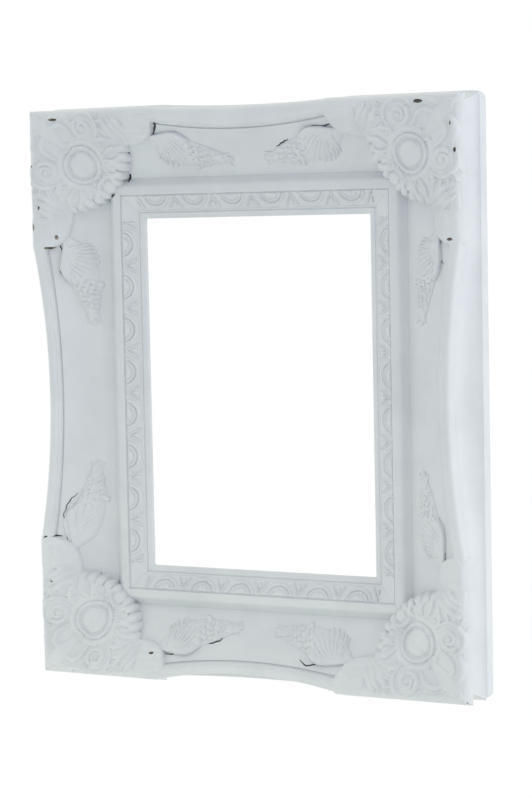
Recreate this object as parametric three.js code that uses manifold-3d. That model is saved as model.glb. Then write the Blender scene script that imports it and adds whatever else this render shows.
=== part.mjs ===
// Swept picture frame, empty, for a 7 by 5 inch picture.
// Millimetres, +Z up. The front faces -Y and the origin is the middle of the back plane.
// Sections are drawn as (inset, depth): inset runs inwards from the outline of the rim,
// and depth runs forwards from the back plane.

import * as THREE from 'three';
import { mergeVertices } from 'three/addons/utils/BufferGeometryUtils.js';
import Module from 'manifold-3d';

// Driving dimensions
const GLASS_WIDTH = 127;
const GLASS_HEIGHT = 178;
const GLASS_PLAY = 1;
const LIP_WIDTH = 4;
const SEAT_GAP = 0.3;

const RIM_TO_REBATE = 50;
const RIM_TO_SLIP = 34;
const SLIP_FILLET = 4;
const SLIP_FILLET_WIDTH = 4;
const PATTERN_WIDTH = 7.2;

const BACK_RECESS = 3.6;
const LIP_BACK_DEPTH = 7.8;
const LIP_THICKNESS = 2.6;
const SLIP_SEAT_DEPTH = 6.7;
const SLIP_FRONT_DEPTH = 14.6;
const GROOVE_DEPTH = 10.5;

const RIM_WIDTH = 6.9;
const RIM_SIDE_DEPTH = 25;
const RIM_FOOT_DEPTH = 26.2;
const RIM_CREST_DEPTH = 30;
const PANEL_HOLLOW = 1.3;
const COVE_HOLLOW = 3.4;
const COVE_FLARE = 1;

const PLINTH_OVERHANG = 1.4;
const PLINTH_WIDTH = 15.4;
const PLINTH_DEPTH = 8.6;
const PLINTH_ARRIS = 1.3;
const PLINTH_CORNER_RADIUS = 4;

const SWEEP_RISE_LONG = 5.8;
const SWEEP_HALF_LONG = 72;
const SWEEP_RISE_SHORT = 4.2;
const SWEEP_HALF_SHORT = 51;
const SWEEP_STEPS = 8;

const ARCH_PITCH = 21;
const ARCH_RADIUS = 5.8;
const ARCH_BEAD = 1;
const PATTERN_RELIEF = 0.6;

const CASTING_SQUARE = 42;
const CASTING_REACH = 68;
const CASTING_TONGUE = 15.5;
const CASTING_SKIN = 2.3;
const BOSS_INSET = 26.5;
const BOSS_RADIUS = 6.8;
const BOSS_RISE = 2.6;
const BOSS_RING = 8.6;
const BOSS_BELT = 11.6;
const BELT_HALF_WIDTH = 2.3;
const BELT_RISE = 1.5;
const BELT_FLUTES = 7;
const VOLUTE_INSET = 8;
const VOLUTE_RADIUS = 5.2;

const SPRAY_FROM_TONGUE = -2;
const SPRAY_INSET = 18.5;
const SPRAY_TO_MIDDLE = 5.5;
const SPRAY_WIDTH = 14;
const SPRAY_RELIEF = 2.6;
const SPRAY_FALL = 10;
const SPRAY_BLADES = 4;
const SPRAY_BUDS = 5;

const V_NAIL_LEG = 5;
const V_NAIL_SHEET = 0.8;
const V_NAIL_HEIGHT = 7;
const V_NAIL_INSETS = [18, 27];

const SCREW_SHANK_RADIUS = 1.25;
const SCREW_LENGTH = 7;
const SCREW_HEAD_RADIUS = 2.5;
const SCREW_HEAD_HEIGHT = 1.3;
const SCREW_SIDES = 8;

const BUTTON_LENGTH = 26;
const BUTTON_ROOT_RADIUS = 4.6;
const BUTTON_TIP_RADIUS = 3;
const BUTTON_SHEET = 1;
const BUTTON_TO_REBATE = 20;
const TURN_CLEARANCE = 0.1;

const RING_WIRE_RADIUS = 0.8;
const RING_HALF_WIDTH = 6;
const RING_REACH = 9;
const STRAP_SHEET = 0.6;
const STRAP_WIDTH = 8;
const STRAP_SCREW_SPACING = 14;
const HANGER_TO_REBATE = 12;
const HANGER_HEIGHT = 45;

// Sizes that follow
const MOULD_WIDTH = RIM_TO_REBATE + LIP_WIDTH;
const REBATE_HALF_WIDTH = GLASS_WIDTH / 2 + GLASS_PLAY;
const REBATE_HALF_HEIGHT = GLASS_HEIGHT / 2 + GLASS_PLAY;
const HALF_WIDTH = REBATE_HALF_WIDTH + RIM_TO_REBATE;
const HALF_HEIGHT = REBATE_HALF_HEIGHT + RIM_TO_REBATE;
const PATTERN_START = RIM_TO_SLIP + SEAT_GAP + SLIP_FILLET + SLIP_FILLET_WIDTH;
const MITRE_SHIFT = SEAT_GAP * Math.SQRT1_2;
const SPRAY_LENGTH = HALF_WIDTH - SPRAY_TO_MIDDLE - CASTING_REACH - SPRAY_FROM_TONGUE;
const CUT_DEPTH = 2 * RIM_CREST_DEPTH;
const RAISED = SEAT_GAP * 1.2;
const FINE_PANEL = [0.12, 0.32, 0.55, 0.78, 1];
const COARSE_PANEL = [0.12, 0.5, 1];

const wasm = await Module();
wasm.setup();

const FORWARD = new THREE.Vector3(0, -1, 0);
const point = (x, y) => new THREE.Vector2(x, y);

// Solids and meshes

function toSolid(geometry) {
  const bare = geometry.index ? geometry.clone() : geometry;
  bare.deleteAttribute('normal');
  bare.deleteAttribute('uv');
  const merged = mergeVertices(bare, 1e-4);
  const kept = [];
  const index = merged.index.array;
  for (let i = 0; i < index.length; i += 3) {
    const [a, b, c] = [index[i], index[i + 1], index[i + 2]];
    if (a !== b && b !== c && c !== a) kept.push(a, b, c);
  }
  const vertProperties = new Float32Array(merged.attributes.position.array);
  const triVerts = new Uint32Array(turnedOut(kept, vertProperties));
  return new wasm.Manifold(new wasm.Mesh({ numProp: 3, vertProperties, triVerts }));
}

function toGeometry(solid) {
  const mesh = solid.getMesh();
  const geometry = new THREE.BufferGeometry();
  geometry.setAttribute('position', new THREE.BufferAttribute(new Float32Array(mesh.vertProperties), 3));
  geometry.setIndex(new THREE.BufferAttribute(new Uint32Array(mesh.triVerts), 1));
  const flat = geometry.toNonIndexed();
  flat.computeVertexNormals();
  return flat;
}

function union(solids) {
  return solids.reduce((sum, solid) => sum.add(solid));
}

// The largest shell of a solid: crumbs that a cut leaves and hollows that it closes are dropped.
function largestShell(solid) {
  return solid.decompose().reduce((most, shell) => (shell.volume() > most.volume() ? shell : most));
}

// A closed skin over a row of rings. The section gives the pattern of both end caps.
function loft(rings, section) {
  const count = section.length;
  const positions = rings.flat().flatMap((p) => [p.x, p.y, p.z]);
  const index = [];
  for (let r = 0; r + 1 < rings.length; r++) {
    for (let i = 0; i < count; i++) {
      const a = r * count + i;
      const b = r * count + ((i + 1) % count);
      index.push(a, b, b + count, a, b + count, a + count);
    }
  }
  const last = (rings.length - 1) * count;
  const clockwise = THREE.ShapeUtils.isClockWise(section);
  for (const [a, second, third] of THREE.ShapeUtils.triangulateShape([...section], [])) {
    const [b, c] = clockwise ? [third, second] : [second, third];
    index.push(a, c, b, last + a, last + b, last + c);
  }
  const geometry = new THREE.BufferGeometry();
  geometry.setAttribute('position', new THREE.Float32BufferAttribute(positions, 3));
  geometry.setIndex(index);
  return geometry;
}

// The same triangles, reversed where they enclose a negative volume.
function turnedOut(index, positions) {
  let volume = 0;
  const at = (i) => new THREE.Vector3().fromArray(positions, 3 * i);
  for (let i = 0; i < index.length; i += 3) {
    volume += at(index[i]).dot(at(index[i + 1]).cross(at(index[i + 2])));
  }
  if (volume > 0) return index;
  const turned = [];
  for (let i = 0; i < index.length; i += 3) turned.push(index[i], index[i + 2], index[i + 1]);
  return turned;
}

// A prism of a plan drawn in (along X, along Z), from one depth to another.
function prism(shape, depthFrom, depthTo, curveSegments = 8) {
  const geometry = new THREE.ExtrudeGeometry(shape, {
    depth: depthTo - depthFrom, bevelEnabled: false, curveSegments,
  });
  geometry.rotateX(Math.PI / 2);
  geometry.translate(0, -depthFrom, 0);
  return geometry;
}

// A bead along a path, round or flattened, with its own half width at each point.
function bead(path, halfWidths, flatness, sides = 4) {
  const rings = path.map((centre, i) => {
    const before = path[Math.max(i - 1, 0)];
    const after = path[Math.min(i + 1, path.length - 1)];
    const along = after.clone().sub(before).normalize();
    const across = along.clone().cross(FORWARD).normalize();
    const up = across.clone().cross(along).normalize();
    return Array.from({ length: sides }, (_, k) => {
      const angle = (2 * Math.PI * k) / sides;
      return centre.clone()
        .addScaledVector(across, halfWidths[i] * Math.cos(angle))
        .addScaledVector(up, halfWidths[i] * flatness * Math.sin(angle));
    });
  });
  const cap = Array.from({ length: sides }, (_, k) => {
    const angle = (2 * Math.PI * k) / sides;
    return point(Math.cos(angle), Math.sin(angle));
  });
  return loft(rings, cap);
}

// Sides of the frame: the bottom rail lies at turn 0 and each turn is a quarter about Y.
const SIDES = {
  bottom: { turn: 0, half: HALF_WIDTH, outer: HALF_HEIGHT, rise: SWEEP_RISE_SHORT, chord: SWEEP_HALF_SHORT },
  right: { turn: 3, half: HALF_HEIGHT, outer: HALF_WIDTH, rise: SWEEP_RISE_LONG, chord: SWEEP_HALF_LONG },
  top: { turn: 2, half: HALF_WIDTH, outer: HALF_HEIGHT, rise: SWEEP_RISE_SHORT, chord: SWEEP_HALF_SHORT },
  left: { turn: 1, half: HALF_HEIGHT, outer: HALF_WIDTH, rise: SWEEP_RISE_LONG, chord: SWEEP_HALF_LONG },
};

// How far the rim bows inwards at a place along its side: one arc between the two castings.
function sweep(side, along) {
  const radius = (side.chord ** 2 + side.rise ** 2) / (2 * side.rise);
  if (Math.abs(along) >= side.chord) return 0;
  return Math.sqrt(radius ** 2 - along ** 2) - (radius - side.rise);
}

// Section of the face rail: cove, rim bead, hollow panel, slip seat, rebate and back.
// The third value is the share of the rim's sweep that the point follows.
function faceSection(panelSteps = FINE_PANEL) {
  const coveDepths = [0.3, 0.6, 0.88];
  const coveBack = PLINTH_DEPTH + SEAT_GAP;
  const cove = coveDepths.map((t) => [
    COVE_HOLLOW * Math.sin(Math.PI * t) - COVE_FLARE * (1 - t),
    coveBack + (RIM_SIDE_DEPTH - coveBack) * t,
    Math.min(1, 1.25 * t),
  ]);
  const beadRise = RIM_CREST_DEPTH - RIM_SIDE_DEPTH;
  const rim = [0, 30, 60, 90, 120, 145].map((degrees) => {
    const angle = THREE.MathUtils.degToRad(degrees);
    const half = (RIM_WIDTH - 0.4) / 2;
    return [half - half * Math.cos(angle), RIM_SIDE_DEPTH + beadRise * Math.sin(angle), 1];
  });
  const panel = panelSteps.map((t) => [
    RIM_WIDTH + (RIM_TO_SLIP - RIM_WIDTH) * t,
    RIM_FOOT_DEPTH + (GROOVE_DEPTH - RIM_FOOT_DEPTH) * t - PANEL_HOLLOW * Math.sin(Math.PI * t),
    (1 - t) ** 1.5,
  ]);
  const innerWall = PLINTH_WIDTH - PLINTH_OVERHANG + SEAT_GAP;
  return [
    [-COVE_FLARE, coveBack, 0],
    ...cove,
    ...rim,
    [RIM_WIDTH, RIM_FOOT_DEPTH + 0.4, 1],
    [RIM_WIDTH + 0.1, RIM_FOOT_DEPTH, 1],
    ...panel,
    [RIM_TO_SLIP, SLIP_SEAT_DEPTH, 0],
    [RIM_TO_REBATE, SLIP_SEAT_DEPTH, 0],
    [RIM_TO_REBATE, BACK_RECESS, 0],
    [innerWall, BACK_RECESS, 0],
    [innerWall, coveBack, 0],
  ];
}

// Section of the rear plinth: a flat band with rounded arrises.
function plinthSection() {
  const outer = -PLINTH_OVERHANG;
  const inner = PLINTH_WIDTH - PLINTH_OVERHANG;
  const round = (PLINTH_ARRIS * (2 - Math.SQRT2)) / 2;
  return [
    [outer + PLINTH_ARRIS, 0, 0],
    [outer + round, round, 0],
    [outer, PLINTH_ARRIS, 0],
    [outer, PLINTH_DEPTH - PLINTH_ARRIS, 0],
    [outer + round, PLINTH_DEPTH - round, 0],
    [outer + PLINTH_ARRIS, PLINTH_DEPTH, 0],
    [inner, PLINTH_DEPTH, 0],
    [inner, 0, 0],
  ];
}

// Section of the slip: outer slope, fillet, sloping pattern band, bead and sight lip.
function slipSection() {
  const start = RIM_TO_SLIP + SEAT_GAP;
  const seat = SLIP_SEAT_DEPTH + SEAT_GAP;
  const lipFront = LIP_BACK_DEPTH + LIP_THICKNESS;
  const bandTop = SLIP_FRONT_DEPTH - 0.6;
  const bandEnd = PATTERN_START + PATTERN_WIDTH;
  return [
    [start, seat, 0],
    [start, GROOVE_DEPTH + 0.2, 0],
    [start + SLIP_FILLET - 0.9, SLIP_FRONT_DEPTH - 0.5, 0],
    [start + SLIP_FILLET, SLIP_FRONT_DEPTH, 0],
    [PATTERN_START - 0.3, SLIP_FRONT_DEPTH, 0],
    [PATTERN_START, bandTop, 0],
    [bandEnd, lipFront + 0.9, 0],
    [bandEnd + 0.2, lipFront + 0.4, 0],
    [bandEnd + 0.5, lipFront + 1, 0],
    [bandEnd + 1.1, lipFront + 1, 0],
    [bandEnd + 1.4, lipFront + 0.3, 0],
    [MOULD_WIDTH - 0.8, lipFront, 0],
    [MOULD_WIDTH, lipFront - 0.8, 0],
    [MOULD_WIDTH, LIP_BACK_DEPTH, 0],
    [RIM_TO_REBATE + SEAT_GAP, LIP_BACK_DEPTH, 0],
    [RIM_TO_REBATE + SEAT_GAP, seat, 0],
  ];
}

// The whole front of a rail and its slip, for the pieces that are laid on it.
function frontSection() {
  const face = faceSection(COARSE_PANEL);
  const slip = slipSection();
  const groove = face.findIndex(([inset]) => inset === RIM_TO_SLIP);
  return [...face.slice(0, groove + 1), ...slip.slice(1, 6), slip.at(-3), face.at(-1)];
}

// A mitred rail at turn 0: it runs along X at the bottom of the frame.
function railSolid(section, side, lift = 0, steps = SWEEP_STEPS) {
  const outline = section.map(([inset, depth]) => point(inset, depth));
  const place = (along, inset, depth) => new THREE.Vector3(along, -depth - lift, inset - side.outer);
  const end = (sign) => section.map(([inset, depth]) => (
    place(sign * (side.half - inset - MITRE_SHIFT), inset, depth)));
  const swept = section.some(([, , share]) => share > 0);
  const between = Array.from({ length: swept ? steps + 1 : 0 }, (_, i) => {
    const along = side.chord * (-1 + (2 * i) / steps);
    return section.map(([inset, depth, share]) => place(along, inset + share * sweep(side, along), depth));
  });
  return toSolid(loft([end(-1), ...between, end(1)], outline));
}

function turned(solid, side) {
  const geometry = toGeometry(solid);
  geometry.rotateY((side.turn * Math.PI) / 2);
  return geometry;
}

// Corner castings, modelled at the bottom left corner of the rim, which is their own origin.
// X and Z run along the two rims, and the top of the pad stands over the mitred rails.

function padTop(low) {
  return low ? [
    [0, RIM_SIDE_DEPTH + 1.8], [0.6, RIM_CREST_DEPTH - 1.3], [1.8, RIM_CREST_DEPTH + 0.3],
    [4, RIM_CREST_DEPTH + 0.8], [9, RIM_CREST_DEPTH - 1.8],
    [CASTING_TONGUE + 2, RIM_CREST_DEPTH - 8.6],
    [CASTING_SQUARE - 4, GROOVE_DEPTH + 2], [CASTING_SQUARE, GROOVE_DEPTH + 1],
  ] : [
    [0, RIM_SIDE_DEPTH + 1.8], [0.6, RIM_CREST_DEPTH - 1.3], [1.8, RIM_CREST_DEPTH + 0.3],
    [4, RIM_CREST_DEPTH + 1], [9, RIM_CREST_DEPTH - 0.4],
    [CASTING_TONGUE + 2, RIM_CREST_DEPTH - 4.2],
    [CASTING_SQUARE - 4, SLIP_FRONT_DEPTH + CASTING_SKIN], [CASTING_SQUARE, SLIP_FRONT_DEPTH + 1],
  ];
}

// The pad's section ends below inside the rail, which then cuts it.
function padSection(low) {
  const inner = RIM_WIDTH + 3;
  return [
    [2, RIM_SIDE_DEPTH], [0, RIM_SIDE_DEPTH + SEAT_GAP], ...padTop(low), [CASTING_SQUARE, PLINTH_DEPTH],
    [inner, PLINTH_DEPTH],
  ];
}

function padHeight(a, b) {
  const inset = Math.min(a, b);
  const along = Math.max(a, b);
  const blend = THREE.MathUtils.smoothstep(along, CASTING_SQUARE, CASTING_SQUARE + 12);
  const read = (rows) => {
    const next = Math.max(rows.findIndex(([u]) => u > inset), 1);
    const [u0, d0] = rows[next - 1];
    const [u1, d1] = rows[next];
    return d0 + ((d1 - d0) * (inset - u0)) / Math.max(u1 - u0, 0.01);
  };
  const high = read(padTop(false));
  const low = read(padTop(true));
  return high + (low - high) * blend;
}

function padArm() {
  const high = padSection(false);
  const low = padSection(true);
  const at = (along) => (row, i) => {
    const blend = THREE.MathUtils.smoothstep(along, CASTING_SQUARE, CASTING_SQUARE + 12);
    return new THREE.Vector3(along, -(row[1] + (low[i][1] - row[1]) * blend), row[0]);
  };
  const mitre = high.map(([inset, depth]) => new THREE.Vector3(inset, -depth, inset));
  const rings = [CASTING_SQUARE + 0.5, CASTING_SQUARE + 12, CASTING_REACH + 2]
    .map((along) => high.map(at(along)));
  return toSolid(loft([mitre, ...rings], high.map(([inset, depth]) => point(inset, depth))));
}

// Half of the casting's lobed edge, from the tongue's outer end to the inner corner.
const EDGE_LOBES = [
  { valley: [CASTING_REACH - 1, CASTING_TONGUE - 1.5], bulge: [CASTING_REACH - 7, CASTING_TONGUE + 2.5] },
  { valley: [CASTING_REACH - 15, CASTING_TONGUE + 0.5], bulge: [CASTING_REACH - 17, CASTING_TONGUE + 5] },
  { valley: [CASTING_SQUARE + 5, CASTING_TONGUE + 6.5], bulge: [CASTING_SQUARE + 8, CASTING_TONGUE + 12.5] },
  { valley: [CASTING_SQUARE + 2, CASTING_TONGUE + 17], bulge: [CASTING_SQUARE + 4.5, CASTING_TONGUE + 21.5] },
];
const INNER_CORNER = [CASTING_SQUARE - 2, CASTING_SQUARE - 2];

function castingOutline() {
  const shape = new THREE.Shape();
  shape.moveTo(0, 0);
  shape.lineTo(CASTING_REACH - 1.5, 0);
  shape.quadraticCurveTo(CASTING_REACH + 1.5, CASTING_TONGUE / 2, ...EDGE_LOBES[0].valley);
  EDGE_LOBES.forEach(({ bulge }, i) => {
    const next = EDGE_LOBES[i + 1] ? EDGE_LOBES[i + 1].valley : INNER_CORNER;
    shape.quadraticCurveTo(...bulge, ...next);
  });
  for (let i = EDGE_LOBES.length - 1; i >= 0; i--) {
    const { valley, bulge } = EDGE_LOBES[i];
    shape.quadraticCurveTo(bulge[1], bulge[0], valley[1], valley[0]);
  }
  shape.quadraticCurveTo(CASTING_TONGUE / 2, CASTING_REACH + 1.5, 0, CASTING_REACH - 1.5);
  shape.lineTo(0, 0);
  return shape;
}

const onPad = (a, b, lift = 0) => new THREE.Vector3(a, -padHeight(a, b) - lift, b);

// The domed boss in its ring and fluted belt, tilted towards the middle of the frame.
function bossSolid() {
  const dome = [0, 30, 60, 90].map((degrees) => {
    const angle = THREE.MathUtils.degToRad(degrees);
    return point(Math.max(BOSS_RADIUS * Math.sin(angle), 0), BOSS_RISE * Math.cos(angle));
  });
  const beltEdge = BOSS_BELT + BELT_HALF_WIDTH;
  const profile = [
    ...dome,
    point(BOSS_RING - 0.8, 0.2), point(BOSS_RING - 0.2, 1.1), point(BOSS_RING + 0.7, 1),
    point(BOSS_BELT - BELT_HALF_WIDTH, 0), point(BOSS_BELT, BELT_RISE), point(beltEdge, -0.4),
    point(beltEdge, -3), point(0, -3),
  ].reverse();
  const geometry = new THREE.LatheGeometry(profile, 2 * BELT_FLUTES);
  const positions = geometry.attributes.position;
  for (let i = 0; i < positions.count; i++) {
    const spot = new THREE.Vector3().fromBufferAttribute(positions, i);
    const quarter = (Math.atan2(spot.x, spot.z) * BELT_FLUTES) / Math.PI;
    const between = Math.round(quarter) % 2 !== 0;
    const onBelt = Math.hypot(spot.x, spot.z) > BOSS_BELT - 0.1 && spot.y > -1;
    if (between && onBelt) positions.setY(i, spot.y - BELT_RISE / 3);
  }
  const tilt = new THREE.Vector3(0.28, -1, 0.28).normalize();
  const turn = new THREE.Quaternion().setFromUnitVectors(new THREE.Vector3(0, 1, 0), tilt);
  geometry.applyQuaternion(turn);
  const seat = onPad(BOSS_INSET, BOSS_INSET, 0.8);
  geometry.translate(seat.x, seat.y, seat.z);
  return toSolid(geometry);
}

// A C-scroll volute that curls in towards its eye.
function voluteSolid(a, b, spin, startDegrees) {
  const steps = 7;
  const path = [];
  const widths = [];
  for (let i = 0; i <= steps; i++) {
    const t = i / steps;
    const radius = VOLUTE_RADIUS * (1 - 0.82 * t);
    const angle = THREE.MathUtils.degToRad(startDegrees) + spin * t * Math.PI * 2.5;
    path.push(onPad(a + radius * Math.cos(angle), b + radius * Math.sin(angle), 0.5 + 0.8 * t));
    widths.push(1.15 - 0.25 * t);
  }
  return toSolid(bead(path, widths, 1));
}

// Blades across the rim beside the volute, a low pillow on the tongue and a lobe at the inner edge.
function armForms() {
  const blades = [CASTING_SQUARE - 1.5, CASTING_SQUARE + 4].map((a, i) => bead(
    [onPad(a, 3, 0), onPad(a + 3, 10, 1.4), onPad(a + 7, 19 - 3 * i, -0.3)],
    [1, 2.9, 0.8], 0.6,
  ));
  const middle = CASTING_TONGUE * 0.55;
  const pillow = bead(
    [[15, -0.4], [8, 0.3], [1.5, -0.6]].map(([back, lift]) => onPad(CASTING_REACH - back, middle, lift)),
    [0.2, 0.36, 0.2].map((share) => share * CASTING_TONGUE), 0.3,
  );
  const lobe = bead(
    [[-6, 11, -0.2], [-1, 13.5, 1], [4, 15, -0.5]].map(([beyond, inside, lift]) => (
      onPad(CASTING_SQUARE + beyond, CASTING_SQUARE - inside, lift))),
    [1.2, 2.8, 1], 0.6,
  );
  return [...blades, pillow, lobe].map(toSolid);
}

// The leaf that fills the outermost corner, along the mitre.
function cornerLeaf() {
  const innerEnd = BOSS_INSET - BOSS_RING;
  const spots = [0.28, 0.6, 1].map((share, i) => onPad(share * innerEnd, share * innerEnd, [-0.3, 1.4, -0.3][i]));
  return toSolid(bead(spots, [1.4, 4.2, 1.2], 0.45));
}

function swapped(solid) {
  const geometry = toGeometry(solid);
  const positions = geometry.attributes.position;
  for (let i = 0; i < positions.count; i++) {
    const [x, y, z] = [positions.getX(i), positions.getY(i), positions.getZ(i)];
    positions.setXYZ(i, z, y, x);
  }
  return toSolid(geometry);
}

// The rails under a casting: the plain end of two face rails, raised by the seating gap.
function cornerUnderside() {
  const section = frontSection();
  const outline = section.map(([inset, depth]) => point(inset, depth));
  const place = (along, inset, depth) => new THREE.Vector3(along, -depth - RAISED, inset);
  const mitre = section.map(([inset, depth]) => place(inset, inset, depth));
  const arms = [SIDES.bottom, SIDES.left].map((side) => {
    const rings = [0, 10].map((beyond) => section.map(([inset, depth, share]) => (
      place(side.half - side.chord + beyond, inset + share * sweep(side, side.chord - beyond), depth))));
    return toSolid(loft([mitre, ...rings], outline));
  });
  const both = union(arms);
  return both.add(swapped(both));
}

function castingSolid() {
  const arm = padArm();
  const outline = toSolid(prism(castingOutline(), 0, CUT_DEPTH, 2));
  const pad = arm.add(swapped(arm)).intersect(outline);
  const forms = armForms();
  const volute = voluteSolid(BOSS_INSET + 1, VOLUTE_INSET, 1, 200);
  forms.push(volute);
  const relief = [bossSolid(), cornerLeaf(), ...forms, ...forms.map(swapped)];
  return largestShell(union([pad, ...relief]).subtract(cornerUnderside()));
}

const CORNERS = {
  bottom_left: { turn: 0, x: -HALF_WIDTH, z: -HALF_HEIGHT },
  bottom_right: { turn: 3, x: HALF_WIDTH, z: -HALF_HEIGHT },
  top_right: { turn: 2, x: HALF_WIDTH, z: HALF_HEIGHT },
  top_left: { turn: 1, x: -HALF_WIDTH, z: HALF_HEIGHT },
};

// Sprays on the panels: a fan of blades near the casting and a tapering cluster of buds.
// The bow pushes the panel inwards by its own share at each inset, which a few rounds settle.
function panelDepth(inset, bow) {
  let t = 0;
  for (let i = 0; i < 10; i++) {
    const moved = inset - RIM_WIDTH - (1 - t) ** 1.5 * bow;
    t = THREE.MathUtils.clamp(moved / (RIM_TO_SLIP - RIM_WIDTH), 0, 1);
  }
  return RIM_FOOT_DEPTH + (GROOVE_DEPTH - RIM_FOOT_DEPTH) * t - PANEL_HOLLOW * Math.sin(Math.PI * t);
}

function spraySolid(side, end) {
  // A place by its shares of the spray's length, width and relief
  const at = (forwards, aside, lift) => {
    const fromCorner = CASTING_REACH + SPRAY_FROM_TONGUE + SPRAY_LENGTH * forwards;
    const inset = SPRAY_INSET + SPRAY_FALL * forwards + SPRAY_WIDTH * aside;
    const depth = panelDepth(inset, sweep(side, side.half - fromCorner)) + SPRAY_RELIEF * lift;
    return new THREE.Vector3(end * (side.half - fromCorner), -depth, inset - side.outer);
  };
  const widths = (...shares) => shares.map((share) => share * SPRAY_WIDTH);
  const blades = Array.from({ length: SPRAY_BLADES }, (_, i) => {
    const t = i / (SPRAY_BLADES - 1) - 0.5;
    return bead([at(0.44, 0.2 * t, 0.4), at(0.22, 0.56 * t, 1), at(0.03 + 0.12 * Math.abs(t), 0.86 * t, 0.35)],
      widths(0.1, 0.18, 0.12), 0.9);
  });
  const buds = Array.from({ length: SPRAY_BUDS }, (_, i) => {
    const t = i / (SPRAY_BUDS - 1);
    const aside = (i % 2 ? 1 : -1) * (0.12 + 0.16 * (1 - t));
    const bud = new THREE.OctahedronGeometry(SPRAY_WIDTH * (0.26 - 0.06 * t), 0);
    const centre = at(0.4 + 0.54 * t, aside, 0.8 - 0.35 * t);
    bud.translate(centre.x, centre.y, centre.z);
    return bud;
  });
  const stem = bead([at(0.14, 0, 0.25), at(0.5, 0, 0.55), at(1, 0, 0.2)], widths(0.3, 0.36, 0.1), 0.5);
  const under = railSolid(frontSection(), side, RAISED, SWEEP_STEPS / 2);
  return largestShell(union([...blades, ...buds, stem].map(toSolid)).subtract(under));
}

// Arches and darts along the pattern band of a slip, at turn 0.
function patternSolids(side) {
  const free = 2 * (side.half - PATTERN_START - PATTERN_WIDTH);
  const count = Math.floor(free / ARCH_PITCH);
  const slope = Math.atan2(SLIP_FRONT_DEPTH - 0.6 - (LIP_BACK_DEPTH + LIP_THICKNESS + 0.9), PATTERN_WIDTH);
  const lay = (shape, along) => {
    const geometry = new THREE.ExtrudeGeometry(shape, {
      depth: 2 * PATTERN_RELIEF, bevelEnabled: false, curveSegments: 2,
    });
    geometry.translate(0, 0, -PATTERN_RELIEF);
    geometry.rotateX(Math.PI / 2 - slope);
    geometry.translate(along, -(SLIP_FRONT_DEPTH - 0.6), PATTERN_START - side.outer);
    return toSolid(geometry);
  };
  const arch = new THREE.Shape();
  arch.absarc(0, 0.2, ARCH_RADIUS, 0, Math.PI);
  arch.absarc(0, 0.2, ARCH_RADIUS - ARCH_BEAD, Math.PI, 0, true);
  const half = new THREE.Shape();
  half.absarc(0, 0.2, ARCH_RADIUS / 2.6, 0, Math.PI);
  const dart = new THREE.Shape([point(-1.9, PATTERN_WIDTH - 0.5), point(0, 1.2), point(1.9, PATTERN_WIDTH - 0.5)]);
  const solids = [];
  for (let i = 0; i < count; i++) {
    const along = (i - (count - 1) / 2) * ARCH_PITCH;
    solids.push(lay(arch, along), lay(half, along));
    if (i > 0) solids.push(lay(dart, along - ARCH_PITCH / 2));
  }
  return solids;
}

// Screws stand along Y with the head behind the seat that they hold.
function screwGeometry(seatDepth) {
  const profile = [
    point(0, -SCREW_HEAD_HEIGHT), point(SCREW_HEAD_RADIUS * 0.6, -SCREW_HEAD_HEIGHT),
    point(SCREW_HEAD_RADIUS, -SCREW_HEAD_HEIGHT * 0.45), point(SCREW_HEAD_RADIUS, 0), point(SCREW_SHANK_RADIUS, 0),
    point(SCREW_SHANK_RADIUS, SCREW_LENGTH - 2), point(0, SCREW_LENGTH),
  ];
  const geometry = new THREE.LatheGeometry(profile, SCREW_SIDES);
  geometry.rotateX(Math.PI);
  geometry.translate(0, -seatDepth, 0);
  return geometry;
}

function drilled(solid, x, z, radius, depthFrom, depthTo) {
  const hole = new THREE.CylinderGeometry(radius, radius, depthTo - depthFrom, SCREW_SIDES);
  hole.translate(x, -(depthFrom + depthTo) / 2, z);
  return solid.subtract(toSolid(hole));
}

const BUTTON_SEAT = BACK_RECESS - SEAT_GAP;
const BUTTON_INSET = RIM_TO_REBATE - BUTTON_TO_REBATE;
const RING_DEPTH = BACK_RECESS - SEAT_GAP - RING_WIRE_RADIUS - TURN_CLEARANCE - STRAP_SHEET;
const HINGE_INSET = RIM_TO_REBATE - HANGER_TO_REBATE;
const STRAP_SCREW_INSET = HINGE_INSET - STRAP_SCREW_SPACING;
const STRAP_BACK = BACK_RECESS - SEAT_GAP - 2 * STRAP_SHEET;

// A turn button on its own pivot, lying along the rail, in a plan of X and Z.
function buttonSolid() {
  const shape = new THREE.Shape();
  shape.absarc(0, 0, BUTTON_ROOT_RADIUS, Math.PI / 2, (3 * Math.PI) / 2);
  shape.absarc(BUTTON_LENGTH - BUTTON_TIP_RADIUS, 0, BUTTON_TIP_RADIUS, -Math.PI / 2, Math.PI / 2);
  const plate = toSolid(prism(shape, BUTTON_SEAT - BUTTON_SHEET, BUTTON_SEAT, 4));
  return drilled(plate, 0, 0, SCREW_SHANK_RADIUS + TURN_CLEARANCE, BUTTON_SEAT - 3, BUTTON_SEAT + 1);
}

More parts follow.
